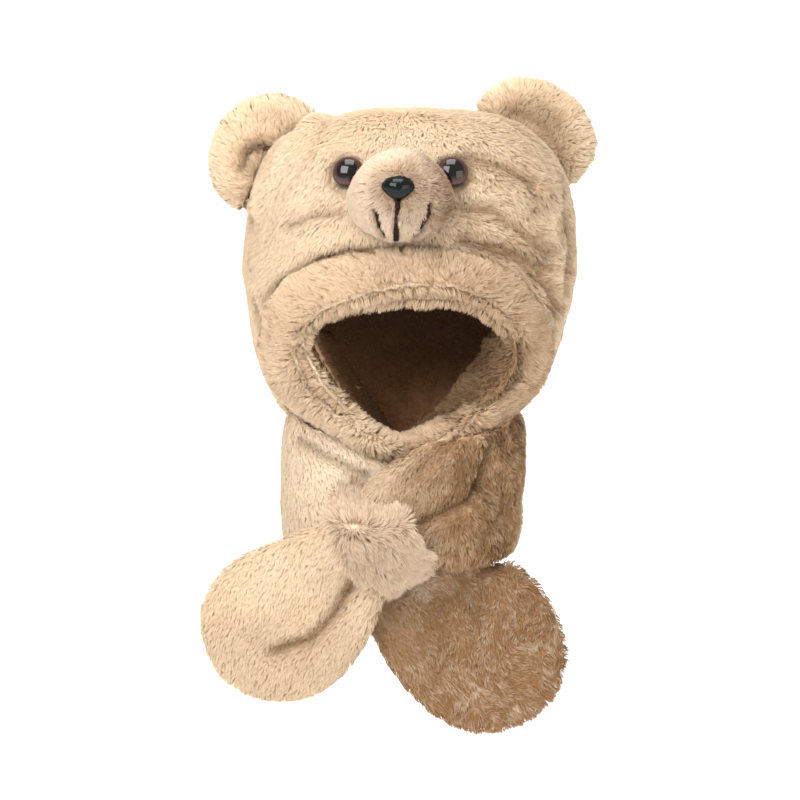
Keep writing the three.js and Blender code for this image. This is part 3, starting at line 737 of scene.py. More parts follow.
def backing_material(name, dark, light, scale=420):
    """A woven backing with a fine grain, which takes the pile's painted shade, away from the lamp and in the
    folds.
    """
    made = bpy.data.materials.new(name)
    made.use_nodes = True
    nodes, links = made.node_tree.nodes, made.node_tree.links
    shader = nodes["Principled BSDF"]
    shader.inputs["Roughness"].default_value = 0.95
    shader.inputs["Specular IOR Level"].default_value = 0.1
    where = nodes.new("ShaderNodeTexCoord")
    grain = nodes.new("ShaderNodeTexNoise")
    grain.inputs["Scale"].default_value = scale
    grain.inputs["Detail"].default_value = 4
    links.new(where.outputs["Object"], grain.inputs["Vector"])
    colours = nodes.new("ShaderNodeValToRGB")
    colours.color_ramp.elements[0].position = 0.35
    colours.color_ramp.elements[0].color = (*dark, 1)
    colours.color_ramp.elements[1].position = 0.7
    colours.color_ramp.elements[1].color = (*light, 1)
    links.new(grain.outputs["Fac"], colours.inputs["Fac"])
    colour = colours.outputs["Color"]
    # paints shade on the backing: away from the lamp by tint, and in the folds
    for attribute, other in (("tint", BACKING_PAINTED_SHADE), ("fold", [value * PAINTED_FOLD_SHADE for value in dark])):
        share = nodes.new("ShaderNodeAttribute")
        share.attribute_name = attribute
        changed = nodes.new("ShaderNodeMix")
        changed.data_type = "RGBA"
        changed.inputs[7].default_value = (*other, 1)
        links.new(share.outputs["Fac"], changed.inputs[0])
        links.new(colour, changed.inputs[6])
        colour = changed.outputs[2]
    links.new(colour, shader.inputs["Base Color"])
    bump = nodes.new("ShaderNodeBump")
    bump.inputs["Strength"].default_value = 0.6
    bump.inputs["Distance"].default_value = 0.0008
    links.new(grain.outputs["Fac"], bump.inputs["Height"])
    links.new(bump.outputs["Normal"], shader.inputs["Normal"])
    return made


# its colours are lightened towards the pile's, as painted light against the shade between the blades
backing = backing_material("plush backing", (0.7, 0.56, 0.41), (0.82, 0.68, 0.52))
print("materials:", [m.name for m in bpy.data.materials if m.users])

# %% [markdown]
# ## The hood
# The hood is a padded bag. Its folds are where the cloth creases over the brow, beside the muzzle and round
# the face opening. Two wide folds have a depth below zero, and swell where the ears are sewn on. At the
# back the hem hangs a little lower, over the scarf. Front and back get a pile of their own, so that neither
# mesh is too heavy, and the front, which is seen most, has more blades. Round the eyes the pile is cut
# short, and a ring of shade is painted on the pile and its backing.

# %% The hood's skin

hood_folds = [
    {"line": [(270, 299), (297, 274), (325, 258), (362, 250), (400, 248)], "width": 5.5, "depth": 3.5},
    {"line": [(400, 248), (450, 252), (490, 270), (520, 297), (543, 330)], "width": 6, "depth": 5.5},
    {"line": [(470, 244), (510, 257), (541, 282), (556, 309)], "width": 5, "depth": 5.5},
    {"line": [(300, 276), (330, 256), (352, 243)], "width": 4, "depth": 2},
    {"line": [(281, 285), (307, 264), (330, 254)], "width": 3.5, "depth": 2},
    {"line": [(292, 224), (318, 213), (345, 210)], "width": 4, "depth": 3.5},
    {"line": [(258, 300), (266, 325), (276, 352)], "width": 5, "depth": 4},
    {"line": [(254, 216), (262, 212)], "width": 3, "depth": 2.5},
    {"line": [(458, 238), (505, 246), (545, 268)], "width": 5, "depth": 5},
    {"line": [(452, 202), (492, 212), (525, 236), (548, 252)], "width": 6, "depth": 4},
    {"line": [(468, 154), (500, 165), (530, 184)], "width": 6, "depth": 4.5},
    {"line": [(558, 200), (566, 240), (560, 285)], "width": 6, "depth": 2.5},
    {"line": [(366, 247), (400, 252), (436, 246)], "width": 4, "depth": 3.5},
    {"line": [(318, 124), (296, 146), (274, 176), (262, 206)], "width": 9, "depth": -7},
    {"line": [(504, 112), (530, 132), (556, 160), (572, 180)], "width": 9, "depth": -7},
]
hood_skin = skin_of(["hood_shell"], "hood_backing", voxel=5.0, inset=3.7, smoothing=8)
press_folds(hood_skin, hood_folds, lumps=1.7)
hood_skin.data.materials.append(backing)
HEM_TOP, HEM_DROP = -0.168, 13  # the hem is lowered below this height in metres, by this many mm
HEM_SOFT = 0.03  # over how many metres that comes in
eye_middles = np.array([(-44.0, -39.3), (30.0, -39.3)]) * MM


def lower_hem(skin):
    points = points_of(skin.data)
    share = np.clip((HEM_TOP - points[:, 2]) / HEM_SOFT, 0, 1) * np.clip(points[:, 1] / HEM_SOFT, 0, 1)
    points[:, 2] -= share * HEM_DROP * MM
    move_points(skin.data, points)


def beside_an_eye(points):
    """How far each point is from the nearer eye's middle, seen from the front, in mm."""
    return np.min([np.hypot(points[:, 0] - x, points[:, 2] - z) for x, z in eye_middles], axis=0) / MM


lower_hem(hood_skin)
hood_points = points_of(hood_skin.data)
# painted shade in a ring round each eye
eye_ring_shade = np.interp(beside_an_eye(hood_points), [12.5, 14.5], [1, 0])
shade_fold(hood_skin.data, np.where(hood_points[:, 1] < 0, eye_ring_shade, 0))

# %% The hood's pile

PARTING = -0.075  # how far in front of the head's axis the pile parts, in metres


def down_the_hood(points, normals):
    """The nap runs back over the crown and the temples, and down in front."""
    back = np.clip((points[:, 1] - PARTING) * 5, 0, 0.6)
    return np.stack([(points[:, 0] + 0.007) * 3.0, back, np.full(len(points), -0.35)], axis=1)


HEAD = np.array([-0.006, 0.0, 0.0])  # the middle of the head


def facing_out(points, normals):
    """From 1 where the skin faces straight away from the head to -1 where it faces the head."""
    away = points - HEAD
    away[:, 2] = np.clip(away[:, 2] + 0.1, -0.02, 1)
    return (normals * unit(away)).sum(axis=1)


def on_the_outside(points, normals):
    return facing_out(points, normals) > -0.15


def from_the_eyes(points):
    """As beside_an_eye, but large for the points at the back."""
    return np.where(points[:, 1] < -0.03, beside_an_eye(points), 1 / MM)


HOOD_SPLIT = 0.012  # the front pile ends here
EYE_RADIUS, EYE_DOME = 11.2, 7.0  # how wide and how high an eye's dome is, in mm
hood_front_pile = grow(
    "hood_pile_front",
    hood_skin,
    count=95000,
    length=7.8,
    width=0.98,
    lean=52,
    seed=1,
    nap=down_the_hood,
    density=lambda p, n: on_the_outside(p, n) * (p[:, 1] < HOOD_SPLIT) * (from_the_eyes(p) > EYE_RADIUS),
    shorter=lambda p: np.interp(from_the_eyes(p), [11, 20], [0.4, 1.0]),
    shade_share=part_of_side_shade(0.2),
    tufting=0.2,
    ruffle=lambda p: rougher_in_the_shade(p) * np.interp(p[:, 2], [-0.06, -0.02], [1.0, 0.35]),
)
hood_back_pile = grow(
    "hood_pile_back",
    hood_skin,
    count=44000,
    length=8.8,
    width=1.25,
    lean=52,
    seed=2,
    nap=down_the_hood,
    density=lambda p, n: on_the_outside(p, n) * (p[:, 1] >= HOOD_SPLIT),
    shade_share=part_of_side_shade(0.2),
    ruffle=lambda p: rougher_in_the_shade(p) * 0.6,
)

# %% [markdown]
# ## The brim
# The edge of the face opening is a padded roll. Its pile parts along a seam: inside the seam the fibres
# fall into the opening, as a pale fringe, and outside it they lie outwards over the hood. Its lower corner
# is pushed back a little, so that the scarf comes out in front of it.

# %% The brim's skin and pile

brim_folds = [
    {"line": [(300, 332), (330, 312), (375, 299), (410, 293), (450, 293)], "width": 3, "depth": 2.5},
    {"line": [(450, 293), (486, 304), (508, 322), (526, 352)], "width": 3, "depth": 2},
    {"line": [(512, 375), (478, 398), (443, 419)], "width": 3, "depth": 3.5},
    {"line": [(300, 350), (312, 385), (340, 410)], "width": 4, "depth": 3},
    {"line": [(330, 378), (352, 405), (374, 424)], "width": 3.5, "depth": 3},
]
brim_skin = skin_of(["face_brim"], "brim_backing", voxel=3.6, inset=4.1, smoothing=5)
press_folds(brim_skin, brim_folds, lumps=1.5)
brim_corner = [(404, 434), (425, 428), (446, 418)]
nudge(brim_skin, brim_corner, reach=12, by=(0, 14, 0))
brim_skin.data.materials.append(backing)
opening_middle = np.array([-0.003, -0.11, -0.165])


def from_the_opening(points, normals):
    """The nap runs outwards from the opening, and into it inside the seam."""
    away = points - opening_middle
    away[:, 1] *= 0.25
    flat_away, flat_normals = away[:, [0, 2]], normals[:, [0, 2]]
    inner = (flat_normals * flat_away).sum(axis=1) < -0.2 * np.linalg.norm(flat_away, axis=1)
    away[inner] = -away[inner] * 0.25 + np.array([0, 0.02, -0.03])
    return away


brim_fur = grow(
    "brim_pile",
    brim_skin,
    count=62000,
    length=9.0,
    width=0.85,
    lean=44,
    seed=3,
    nap=from_the_opening,
    density=lambda p, n: n[:, 1] < 0.75,
    tufting=0.45,
    shade_share=part_of_side_shade(0.5),
    ruffle=same(0.8),
)

# %% [markdown]
# ## The ears
# Each ear is two discs of plush, sewn and turned, with a little padding, and cupped towards the front. Its
# pile runs from the seam at the head to the rim. Near the seam the ear is pulled in and down, into the
# hood's pile.

# %% Both ears


def ear(side, seed, root, folds, seam, inwards):
    """An ear with its pile. seam is a line of the picture, where the ear is pulled inwards by so many mm."""
    skin = skin_of(["ear_" + side], "ear_" + side + "_backing", voxel=3.4, inset=3.0, smoothing=4)
    press_folds(skin, folds, lumps=0.8)
    skin.data.materials.append(backing)
    middle = np.array(root)

    def from_the_head(points, normals):
        return points - middle + np.array([0, 0, 0.01])

    nudge(skin, seam, reach=13, by=(inwards, 0, -3))
    pile = grow(
        "ear_" + side + "_pile",
        skin,
        count=18000,
        length=9.0,
        width=0.9,
        lean=44,
        seed=seed,
        nap=from_the_head,
        density=everywhere,
        shade_share=part_of_side_shade(0.2),
        ruffle=lambda p: np.interp(np.linalg.norm(p - middle, axis=1), [0.035, 0.07], [0.85, 0.3]),
    )
    return skin, pile


ear_right_folds = [
    {"line": [(246, 170), (250, 154), (264, 148), (282, 145), (300, 137)], "width": 4.5, "depth": 4},
    {"line": [(252, 186), (262, 172)], "width": 5, "depth": 1.5},
]
ear_left_folds = [
    {"line": [(516, 112), (538, 122), (556, 140), (564, 160)], "width": 6, "depth": 3.5},
    {"line": [(536, 108), (556, 124), (566, 146)], "width": 7, "depth": 1.5},
]
right_seam = [(312, 116), (278, 146), (254, 190)]
left_seam = [(500, 100), (540, 130), (574, 172)]
ear_right_skin, ear_right_fur = ear("right", 4, (-0.085, 0.0, -0.03), ear_right_folds, right_seam, 5)
ear_left_skin, ear_left_fur = ear("left", 5, (0.075, 0.0, -0.015), ear_left_folds, left_seam, -5)

# %% [markdown]
# ## The muzzle
# The muzzle is a stuffed ball of paler, shorter plush. A dark seam runs down from the nose, and two deep
# creases, with painted shade in them, lift the lips out at its sides. The pile starts at the nose and runs
# back over the ball, with painted shade on its side away from the main lamp. The packed muzzle has a socket
# for the nose, so its skin is made from the two solids together, which closes the socket. Its backing is
# painted dark, as the shade where the pile is pressed apart round the nose.

# %% The muzzle's skin and pile

muzzle_folds = [
    {"line": [(398, 196), (397, 215), (396, 236)], "width": 1.9, "depth": 5},
    {"line": [(376, 208), (380, 223), (387, 237), (394, 242)], "width": 1.9, "depth": 5.5},
    {"line": [(427, 203), (428, 213), (421, 225), (408, 239), (400, 244)], "width": 2.1, "depth": 5},
]


def narrow(skin):
    """Draws the upper half in, so that the eyes stay clear of it."""
    points = points_of(skin.data)
    middle = points.mean(axis=0)
    up = np.clip((points[:, 2] - middle[2]) / (30 * MM), 0, 1)
    points[:, 0] = middle[0] + (points[:, 0] - middle[0]) * (1 - 0.25 * up**0.7)
    move_points(skin.data, points)


muzzle_skin = skin_of(["muzzle", "nose"], "muzzle_backing", voxel=1.9, inset=3.4, smoothing=5)
narrow(muzzle_skin)
press_folds(muzzle_skin, muzzle_folds, lumps=0.4)
muzzle_skin.data.materials.append(backing_material("muzzle backing in painted shade", (0.3, 0.2, 0.12), (0.42, 0.29, 0.18)))
EYE_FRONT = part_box("eye_left")[0][1] - 0.004
nose_middle = np.mean([tuple(corner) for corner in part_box("nose")], axis=0)


def by_the_nose(points, wide, high):
    """How far points are from the nose, seen from the front. It is 1 on an oval of these half sizes in mm."""
    away = (points - nose_middle) / MM
    return np.hypot(away[:, 0] / wide, away[:, 2] / high)


NOSE_SINK = 1.395  # how far the skin sinks for a shade of 1, in mm


def press_nose_in(skin):
    """The nose is pressed into the muzzle, so the skin round it sinks, and its pile is shorter and takes
    painted shade, as in a crease.
    """
    points = points_of(skin.data)
    pressed = np.clip((1.5 - by_the_nose(points, 14, 12)) * 0.75, 0, 0.4)
    pressed[points[:, 1] >= nose_middle[1] + 0.015] = 0
    points[:, 1] += pressed * NOSE_SINK * MM
    move_points(skin.data, points)
    shade_fold(skin.data, pressed)


press_nose_in(muzzle_skin)


def from_the_nose(points, normals):
    away = points - nose_middle
    away[:, 1] *= 1.6
    away[:, 2] -= 0.012
    return away


def clear_of_nose(points, normals):
    under_nose = (by_the_nose(points, 10.2, 7.4) < 1) & (points[:, 1] < nose_middle[1] + 0.012)
    under_eye = (from_the_eyes(points) < 12) & (points[:, 1] > EYE_FRONT)
    return ~under_nose & ~under_eye & (normals[:, 1] < 0.7)


muzzle_fur = grow(
    "muzzle_pile",
    muzzle_skin,
    count=27000,
    length=6.0,
    width=0.55,
    lean=46,
    seed=6,
    nap=from_the_nose,
    density=clear_of_nose,
    tuft_size=12,
    bare=0.44,
    ruffle=lambda p: np.interp(p[:, 0], [-0.02, 0.01], [0.35, 0.8]),
    # painted shade on the muzzle's side away from the main lamp
    shade_share=lambda p: np.interp(p[:, 0], [-0.012, 0.002, 0.02], [0.0, 0.25, 0.7]),
)

# %% [markdown]
# ## The scarf
# The two halves cross at the throat. Each runs from the back of the neck to a rounded end, and its pile
# lies along it, towards that end. The middle line of each half is written down again here in millimetres,
# because the pile follows it.

# %% Both halves of the scarf

over_line = [
    (76, 0, -262),
    (60, -60, -262),
    (20, -100, -275),
    (-22, -112, -300),
    (-60, -108, -330),
    (-130, -100, -400),
]
under_line = [
    (-86, 0, -262),
    (-70, -55, -262),
    (-40, -75, -280),
    (-6, -78, -315),
    (40, -72, -350),
    (92, -70, -430),
]


def along_line(line):
    """A nap that follows a line of places in mm, hangs down a little, and never points forwards."""
    places = np.array(line) * MM
    steps = np.linspace(0, len(line) - 1, 60)
    dense = np.stack([np.interp(steps, np.arange(len(line)), places[:, k]) for k in range(3)], axis=1)
    ways = unit(np.gradient(dense, axis=0))
    near = nearest(dense)

    def nap(points, normals):
        along = ways[[near.find(place)[1] for place in points]]
        along[:, 1] = np.maximum(along[:, 1], 0)
        return along * 0.7 + np.array([0, 0, -0.6])

    return nap


def seen_side(points, normals):
    """The pile is thinner where the collar faces the neck, and behind the hanging ends."""
    away = points - HEAD
    away[:, 2] = 0
    outwards = (normals * unit(away)).sum(axis=1)
    hanging = points[:, 2] < -0.33
    seen = np.where(hanging, normals[:, 1] < 0.3, (outwards > -0.2) | (normals[:, 2] > 0.3))
    return np.where(seen, 1.0, np.where(hanging, 0.4, 0.16))


def in_front(points):
    return np.interp(points[:, 1], [-0.05, 0.01], [1.0, 0.12])


def over_side_shade(points):
    """Painted shade on this half: most on its upper part, at the wearer's left away from the main lamp, and a
    little on its hanging end.
    """
    paw = np.interp(points[:, 2], [-0.37, -0.33], [0.22, 0.0])
    return paw + np.interp(points[:, 0], [-0.03, 0.0, 0.03], [0.0, 0.55, 0.84]) * in_front(points)


def under_side_shade(points):
    """Painted shade on this half: none at the wearer's right, most towards the wearer's left, away from the
    main lamp, where it lies behind the other half, and on its hanging end.
    """
    far_side = np.interp(points[:, 0], [-0.02, 0.02], [0.0, 1.0])
    paw = np.interp(points[:, 2], [-0.345, -0.32], [1.0, 0.0])
    return 0.9 * np.maximum(far_side, paw) * in_front(points)


def calm_at_the_right(points):
    """At the wearer's right the collar is smooth, and towards the other side it is brushed up."""
    return np.interp(points[:, 0], [-0.05, -0.02, 0.04], [0.08, 0.3, 0.95])


over_folds = [
    {"line": [(489, 445), (477, 469), (469, 497), (447, 508), (420, 522)], "width": 5, "depth": 5},
    {"line": [(365, 560), (358, 575), (333, 615), (312, 637), (276, 648)], "width": 5, "depth": 5},
    {"line": [(455, 432), (430, 460), (408, 480)], "width": 5, "depth": 2.5},
    {"line": [(500, 470), (505, 500), (480, 535)], "width": 6, "depth": 2.5},
]
under_folds = [
    {"line": [(300, 436), (321, 451), (345, 463), (365, 473)], "width": 4, "depth": 3.5},
    {"line": [(477, 572), (481, 596), (474, 640)], "width": 6, "depth": 3},
    {"line": [(436, 600), (446, 640), (436, 672)], "width": 9, "depth": 1.8},
    {"line": [(520, 610), (526, 650), (508, 690)], "width": 9, "depth": 1.8},
]
over_skin = skin_of(["scarf_over"], "scarf_over_backing", voxel=4.4, inset=3.6, smoothing=5)
under_skin = skin_of(["scarf_under"], "scarf_under_backing", voxel=4.4, inset=3.6, smoothing=5)
press_folds(over_skin, over_folds, lumps=1.2)
press_folds(under_skin, under_folds, lumps=1.2)
upper_edge = [(392, 442), (415, 434), (443, 422), (472, 412)]
nudge(over_skin, upper_edge, reach=12, by=(0, -2, 2.5))
over_skin.data.materials.append(backing)
under_skin.data.materials.append(backing)
over_fur = grow(
    "scarf_over_pile",
    over_skin,
    count=69000,
    length=7.4,
    width=0.88,
    lean=54,
    seed=7,
    nap=along_line(over_line),
    density=seen_side,
    tufting=0.2,
    shade_share=over_side_shade,
)
under_fur = grow(
    "scarf_under_pile",
    under_skin,
    count=69000,
    length=6.8,
    width=0.82,
    lean=58,
    seed=8,
    nap=along_line(under_line),
    density=seen_side,
    tufting=0.2,
    shade_share=under_side_shade,
    ruffle=calm_at_the_right,
)

# %% [markdown]
# ## The keeper loop
# The loop that holds the scarf is a short band of the same plush, but its pile is longer and paler. It
# flows down and to the wearer's left, over the loop's edges. The loop's upper end goes back behind the
# scarf, so its skin is pushed back there.

# %% The keeper's skin and pile

keeper_skin = skin_of(["keeper_loop"], "keeper_backing", voxel=2.6, inset=4.0, smoothing=16)
press_folds(keeper_skin, [], lumps=0.8)
upper_end = [(335, 477), (360, 486), (385, 496)]
right_edge = [(350, 512), (352, 540), (366, 566)]
nudge(keeper_skin, upper_end, reach=20, by=(0, 42, 0))
nudge(keeper_skin, right_edge, reach=14, by=(-11, 0, -1))
keeper_skin.data.materials.append(backing)
keeper_middle = np.array([-0.022, -0.14, -0.305])


def down_the_keeper(points, normals):
    """The nap runs down and spreads to both edges. On what faces up it runs back."""
    spread = points - keeper_middle
    back = spread[:, 1] * 2 + 3 * np.clip(normals[:, 2] - 0.1, 0, 1)
    return np.stack([0.35 + spread[:, 0] * 14, back, -0.85 + spread[:, 2] * 6], axis=1)


KEEPER_FADE = (-0.285, -0.27)  # between these heights the loop goes behind the scarf, and its pile thins
keeper_fur = grow(
    "keeper_pile",
    keeper_skin,
    count=18000,
    length=12.5,
    width=0.65,
    lean=38,
    seed=9,
    nap=down_the_keeper,
    density=lambda p, n: (n[:, 1] < 0.5) * np.interp(p[:, 2], KEEPER_FADE, (1, 0.4)),
    tufting=0.4,
    ruffle=same(0.5),
    shade_share=same(0.2),
)

# %% [markdown]
# ## The lining
# The inside of the hood is a brown fleece lining, painted darker as the shade inside the hood. It is a thin
# cloth that hangs in a few soft upright folds, with a short pile that catches a little light at the back.
# Little light gets into the crown, so shade is painted on the cloth there, as in a fold.

# %% The lining

lining_folds = [
    {"line": [(372, 330), (376, 365), (384, 410)], "width": 9, "depth": 2},
    {"line": [(408, 325), (412, 370), (410, 415)], "width": 10, "depth": 2.2},
    {"line": [(442, 330), (446, 362), (440, 400)], "width": 9, "depth": 2},
]
lining_skin = bpy.data.objects.new("hood_lining_fleece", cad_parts["hood_lining"].data.copy())
scene.collection.objects.link(lining_skin)
lining_skin.data.materials.clear()
weld = lining_skin.modifiers.new("weld", "WELD")
weld.merge_threshold = 0.02 * MM
finer = lining_skin.modifiers.new("finer", "SUBSURF")
finer.subdivision_type = "SIMPLE"
finer.levels = 1
lining_mesh = built(lining_skin)
press_folds(lining_skin, lining_folds, lumps=0.6, front=1)
# painted shade towards the crown, where little light gets in
shade_fold(lining_mesh, np.interp(points_of(lining_mesh)[:, 2], [-0.25, -0.15], [0.0, 0.88]))
shaded_fleece = backing_material("fleece in painted shade", (0.36, 0.19, 0.09), (0.6, 0.335, 0.17), scale=300)
lining_mesh.materials.append(shaded_fleece)
lining_fur = grow(
    "lining_pile",
    lining_skin,
    count=8000,
    length=4.5,
    width=1.6,
    lean=56,
    seed=10,
    nap=one_way(0.0, 0.0, -1.0),
    density=lambda p, n: (facing_out(p, n) < -0.2) * (p[:, 1] > -0.04),
    shade_share=same(0.1),
)

# %% [markdown]
# ## The facing inside the opening
# At the lower sides of the opening the plush is turned in, and covers the lining's edge. Each facing is a
# thin padded strip that starts behind the brim and runs back into the hood. Its plush and backing are painted
# dark, as the shade inside the opening, and the one at the wearer's right darker. Its two long edges are
# given as the camera sees them, and a depth is given for each.

# %% The two facings


def facing(name, near_edge, far_edge, near, far, thickness=3.0, along=24, across=8):
    """A strip between two lines of the picture, one at the depth near and one at the depth far, in mm."""
    grid = []
    for t in np.linspace(0, 1, along):
        edges = []
        for line in (near_edge, far_edge):
            places = np.array(line, float)
            at = t * (len(places) - 1)
            edges.append([np.interp(at, np.arange(len(places)), places[:, k]) for k in (0, 1)])
        for u in np.linspace(0, 1, across):
            place = np.array(edges[0]) * (1 - u) + np.array(edges[1]) * u
            ray = sight(*place)
            depth = (near + (far - near) * u) * MM
            grid.append(camera.location + ray * ((depth - camera.location.y) / ray.y))
    faces = [
        (a * across + b, a * across + b + 1, (a + 1) * across + b + 1, (a + 1) * across + b)
        for a in range(along - 1)
        for b in range(across - 1)
    ]
    mesh = bpy.data.meshes.new(name)
    mesh.from_pydata(grid, [], faces)
    if np.mean([f.normal.y for f in mesh.polygons]) > 0:
        mesh.flip_normals()
    made = bpy.data.objects.new(name, mesh)
    scene.collection.objects.link(made)
    thick = made.modifiers.new("padding", "SOLIDIFY")
    thick.thickness = thickness * MM
    built(made)
    press_folds(made, [], lumps=0.8)
    made.data.materials.append(facing_shaded_backing)
    return made


# the facings' backing, painted dark as the shade inside the opening
facing_shaded_backing = backing_material("facing backing in painted shade", (0.08, 0.05, 0.03), (0.14, 0.09, 0.055))
FACING_FRONT, FACING_BACK = -84, -40  # the depths of a facing's two edges, in mm
left_front = [(508, 330), (515, 345), (516, 364), (504, 386), (478, 405), (446, 428), (420, 440)]
left_back = [(486, 336), (482, 352), (467, 370), (455, 386), (443, 404), (424, 420), (408, 432)]
right_front = [(312, 330), (322, 356), (342, 388), (366, 420), (384, 438)]
right_back = [(332, 334), (344, 356), (362, 384), (384, 414), (396, 434)]
facing_left = facing("facing_left", left_front, left_back, FACING_FRONT, FACING_BACK)
facing_right = facing("facing_right", right_front, right_back, FACING_FRONT, FACING_BACK)
facings = []
for skin, colour, seed in ((facing_left, facing_left_shaded_pile, 21), (facing_right, facing_right_shaded_pile, 22)):
    pile = grow(
        skin.name + "_pile",
        skin,
        count=3500,
        length=6.0,
        width=1.1,
        lean=52,
        seed=seed,
        nap=one_way(0.0, 0.6, -0.6),
        density=lambda p, n: n[:, 1] < 0.3,
        shade_share=same(0.36),
    )
    facings.append((pile, colour))

# %% [markdown]
# ## The eyes
# An eye is a clear moulded dome with its colours painted behind it: a black pupil, a reddish brown ring and
# a dark rim. The dome is turned from a profile. Each ring of points keeps how far out it lies, and a colour
# ramp paints the eye from that. A clear coat over it gives the lamp's reflection.

# %% The eyes


def glossy(name, roughness=0.06, coat=0.6):
    made = bpy.data.materials.new(name)
    made.use_nodes = True
    shader = made.node_tree.nodes["Principled BSDF"]
    shader.inputs["Roughness"].default_value = roughness
    shader.inputs["Specular IOR Level"].default_value = 0.06
    shader.inputs["Coat Weight"].default_value = coat
    shader.inputs["Coat Roughness"].default_value = 0.02
    return made, made.node_tree, shader


eye_paint, eye_tree, eye_shader = glossy("eye plastic")
eye_ring = eye_tree.nodes.new("ShaderNodeAttribute")
eye_ring.attribute_name = "ring"
eye_ramp = eye_tree.nodes.new("ShaderNodeValToRGB")
eye_ramp.color_ramp.elements[0].color = (0.004, 0.004, 0.005, 1)
eye_ramp.color_ramp.elements[1].color = (0.02, 0.008, 0.006, 1)
eye_rings = [
    (0.6, (0.006, 0.004, 0.004)),
    (0.68, (0.03, 0.011, 0.008)),
    (0.86, (0.068, 0.026, 0.02)),
    (0.95, (0.025, 0.01, 0.008)),
]
for place, colour in eye_rings:
    stop = eye_ramp.color_ramp.elements.new(place)
    stop.color = (*colour, 1)
eye_tree.links.new(eye_ring.outputs["Fac"], eye_ramp.inputs["Fac"])
eye_tree.links.new(eye_ramp.outputs["Color"], eye_shader.inputs["Base Color"])


def tube_faces(rings, sides):
    """The faces between rings of points that follow each other in a mesh."""
    return [
        (r * sides + s, r * sides + (s + 1) % sides, (r + 1) * sides + (s + 1) % sides, (r + 1) * sides + s)
        for r in range(rings - 1)
        for s in range(sides)
    ]


def eye(node, sides=64, rings=20):
    """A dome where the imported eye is, facing the same way."""
    tree = surface(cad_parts[node].data)
    low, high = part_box(node)
    middle = (low + high) / 2
    facing = Vector((0, -1, 0))
    for _ in range(3):
        hit = tree.ray_cast(middle + facing * 0.1, -facing)
        facing = (facing + hit[1]).normalized()
    rim = tree.ray_cast(middle + facing * 0.1, -facing)[0] - facing * (EYE_DOME - 2.5) * MM
    turn = facing.to_track_quat("Z", "Y")
    profile = [(EYE_RADIUS, -7.0)] + [
        (EYE_RADIUS * math.cos(a), EYE_DOME * math.sin(a)) for a in np.linspace(0, math.pi / 2, rings)[:-1]
    ]
    angles = np.linspace(0, 2 * math.pi, sides, endpoint=False)
    place = [
        rim + turn @ Vector((r * math.cos(t), r * math.sin(t), h)) * MM for r, h in profile for t in angles
    ]
    place.append(rim + facing * EYE_DOME * MM)
    faces = tube_faces(len(profile), sides)
    top = (len(profile) - 1) * sides
    faces += [(top + s, top + (s + 1) % sides, len(place) - 1) for s in range(sides)]
    faces.append(tuple(reversed(range(sides))))
    mesh = bpy.data.meshes.new(node + "_dome")
    mesh.from_pydata(place, [], faces)
    mesh.polygons.foreach_set("use_smooth", [True] * (len(faces) - 1) + [False])
    keep(mesh, "ring", np.append(np.repeat([r / EYE_RADIUS for r, h in profile], sides), 0.0))
    mesh.materials.append(eye_paint)
    made = bpy.data.objects.new(node + "_dome", mesh)
    scene.collection.objects.link(made)
    print(node, "faces", [round(x, 2) for x in facing])
    return made


eye_left = eye("eye_left")
eye_right = eye("eye_right")

# %% [markdown]
# ## The nose
# The nose is one moulded piece of black plastic, and the faint green cast in its colour is a painted
# reflection. The imported solid has its shape in facets, so it is remeshed finely and smoothed. Its material
# has a fine grain that is only visible in the highlight.

# %% The nose

nose_skin = skin_of(["nose"], "nose_moulding", voxel=0.6, inset=0.0, smoothing=9)
nose_paint, nose_tree, nose_shader = glossy("nose plastic", roughness=0.12, coat=0.25)
nose_where = nose_tree.nodes.new("ShaderNodeTexCoord")
nose_grain = nose_tree.nodes.new("ShaderNodeTexNoise")
nose_grain.inputs["Scale"].default_value = 900
nose_ramp = nose_tree.nodes.new("ShaderNodeValToRGB")
# the faint green in these near-black colours is a painted reflection
nose_ramp.color_ramp.elements[0].color = (0.002, 0.003, 0.003, 1)
nose_ramp.color_ramp.elements[1].color = (0.004, 0.007, 0.006, 1)
nose_bump = nose_tree.nodes.new("ShaderNodeBump")
nose_bump.inputs["Strength"].default_value = 0.08
nose_bump.inputs["Distance"].default_value = 0.0002
nose_tree.links.new(nose_where.outputs["Object"], nose_grain.inputs["Vector"])
nose_tree.links.new(nose_grain.outputs["Fac"], nose_ramp.inputs["Fac"])
nose_tree.links.new(nose_ramp.outputs["Color"], nose_shader.inputs["Base Color"])
nose_tree.links.new(nose_grain.outputs["Fac"], nose_bump.inputs["Height"])
nose_tree.links.new(nose_bump.outputs["Normal"], nose_shader.inputs["Normal"])
nose_skin.data.materials.append(nose_paint)

# %% [markdown]
# ## The seam of the mouth
# The dark line under the nose is a row of thread stitches that draws the muzzle in. It is a thin padded
# strip that lies in the middle fold, with a small swelling for each stitch. Two more such dark strips lie in
# the creases beside it, as their painted shade.

# %% The seam of the mouth

thread = backing_material("dark thread", (0.01, 0.005, 0.004), (0.035, 0.017, 0.012), scale=1500)
STITCH = 1.6  # the length of a stitch in mm
FORWARDS = np.array([0.0, -1.0, 0.0])


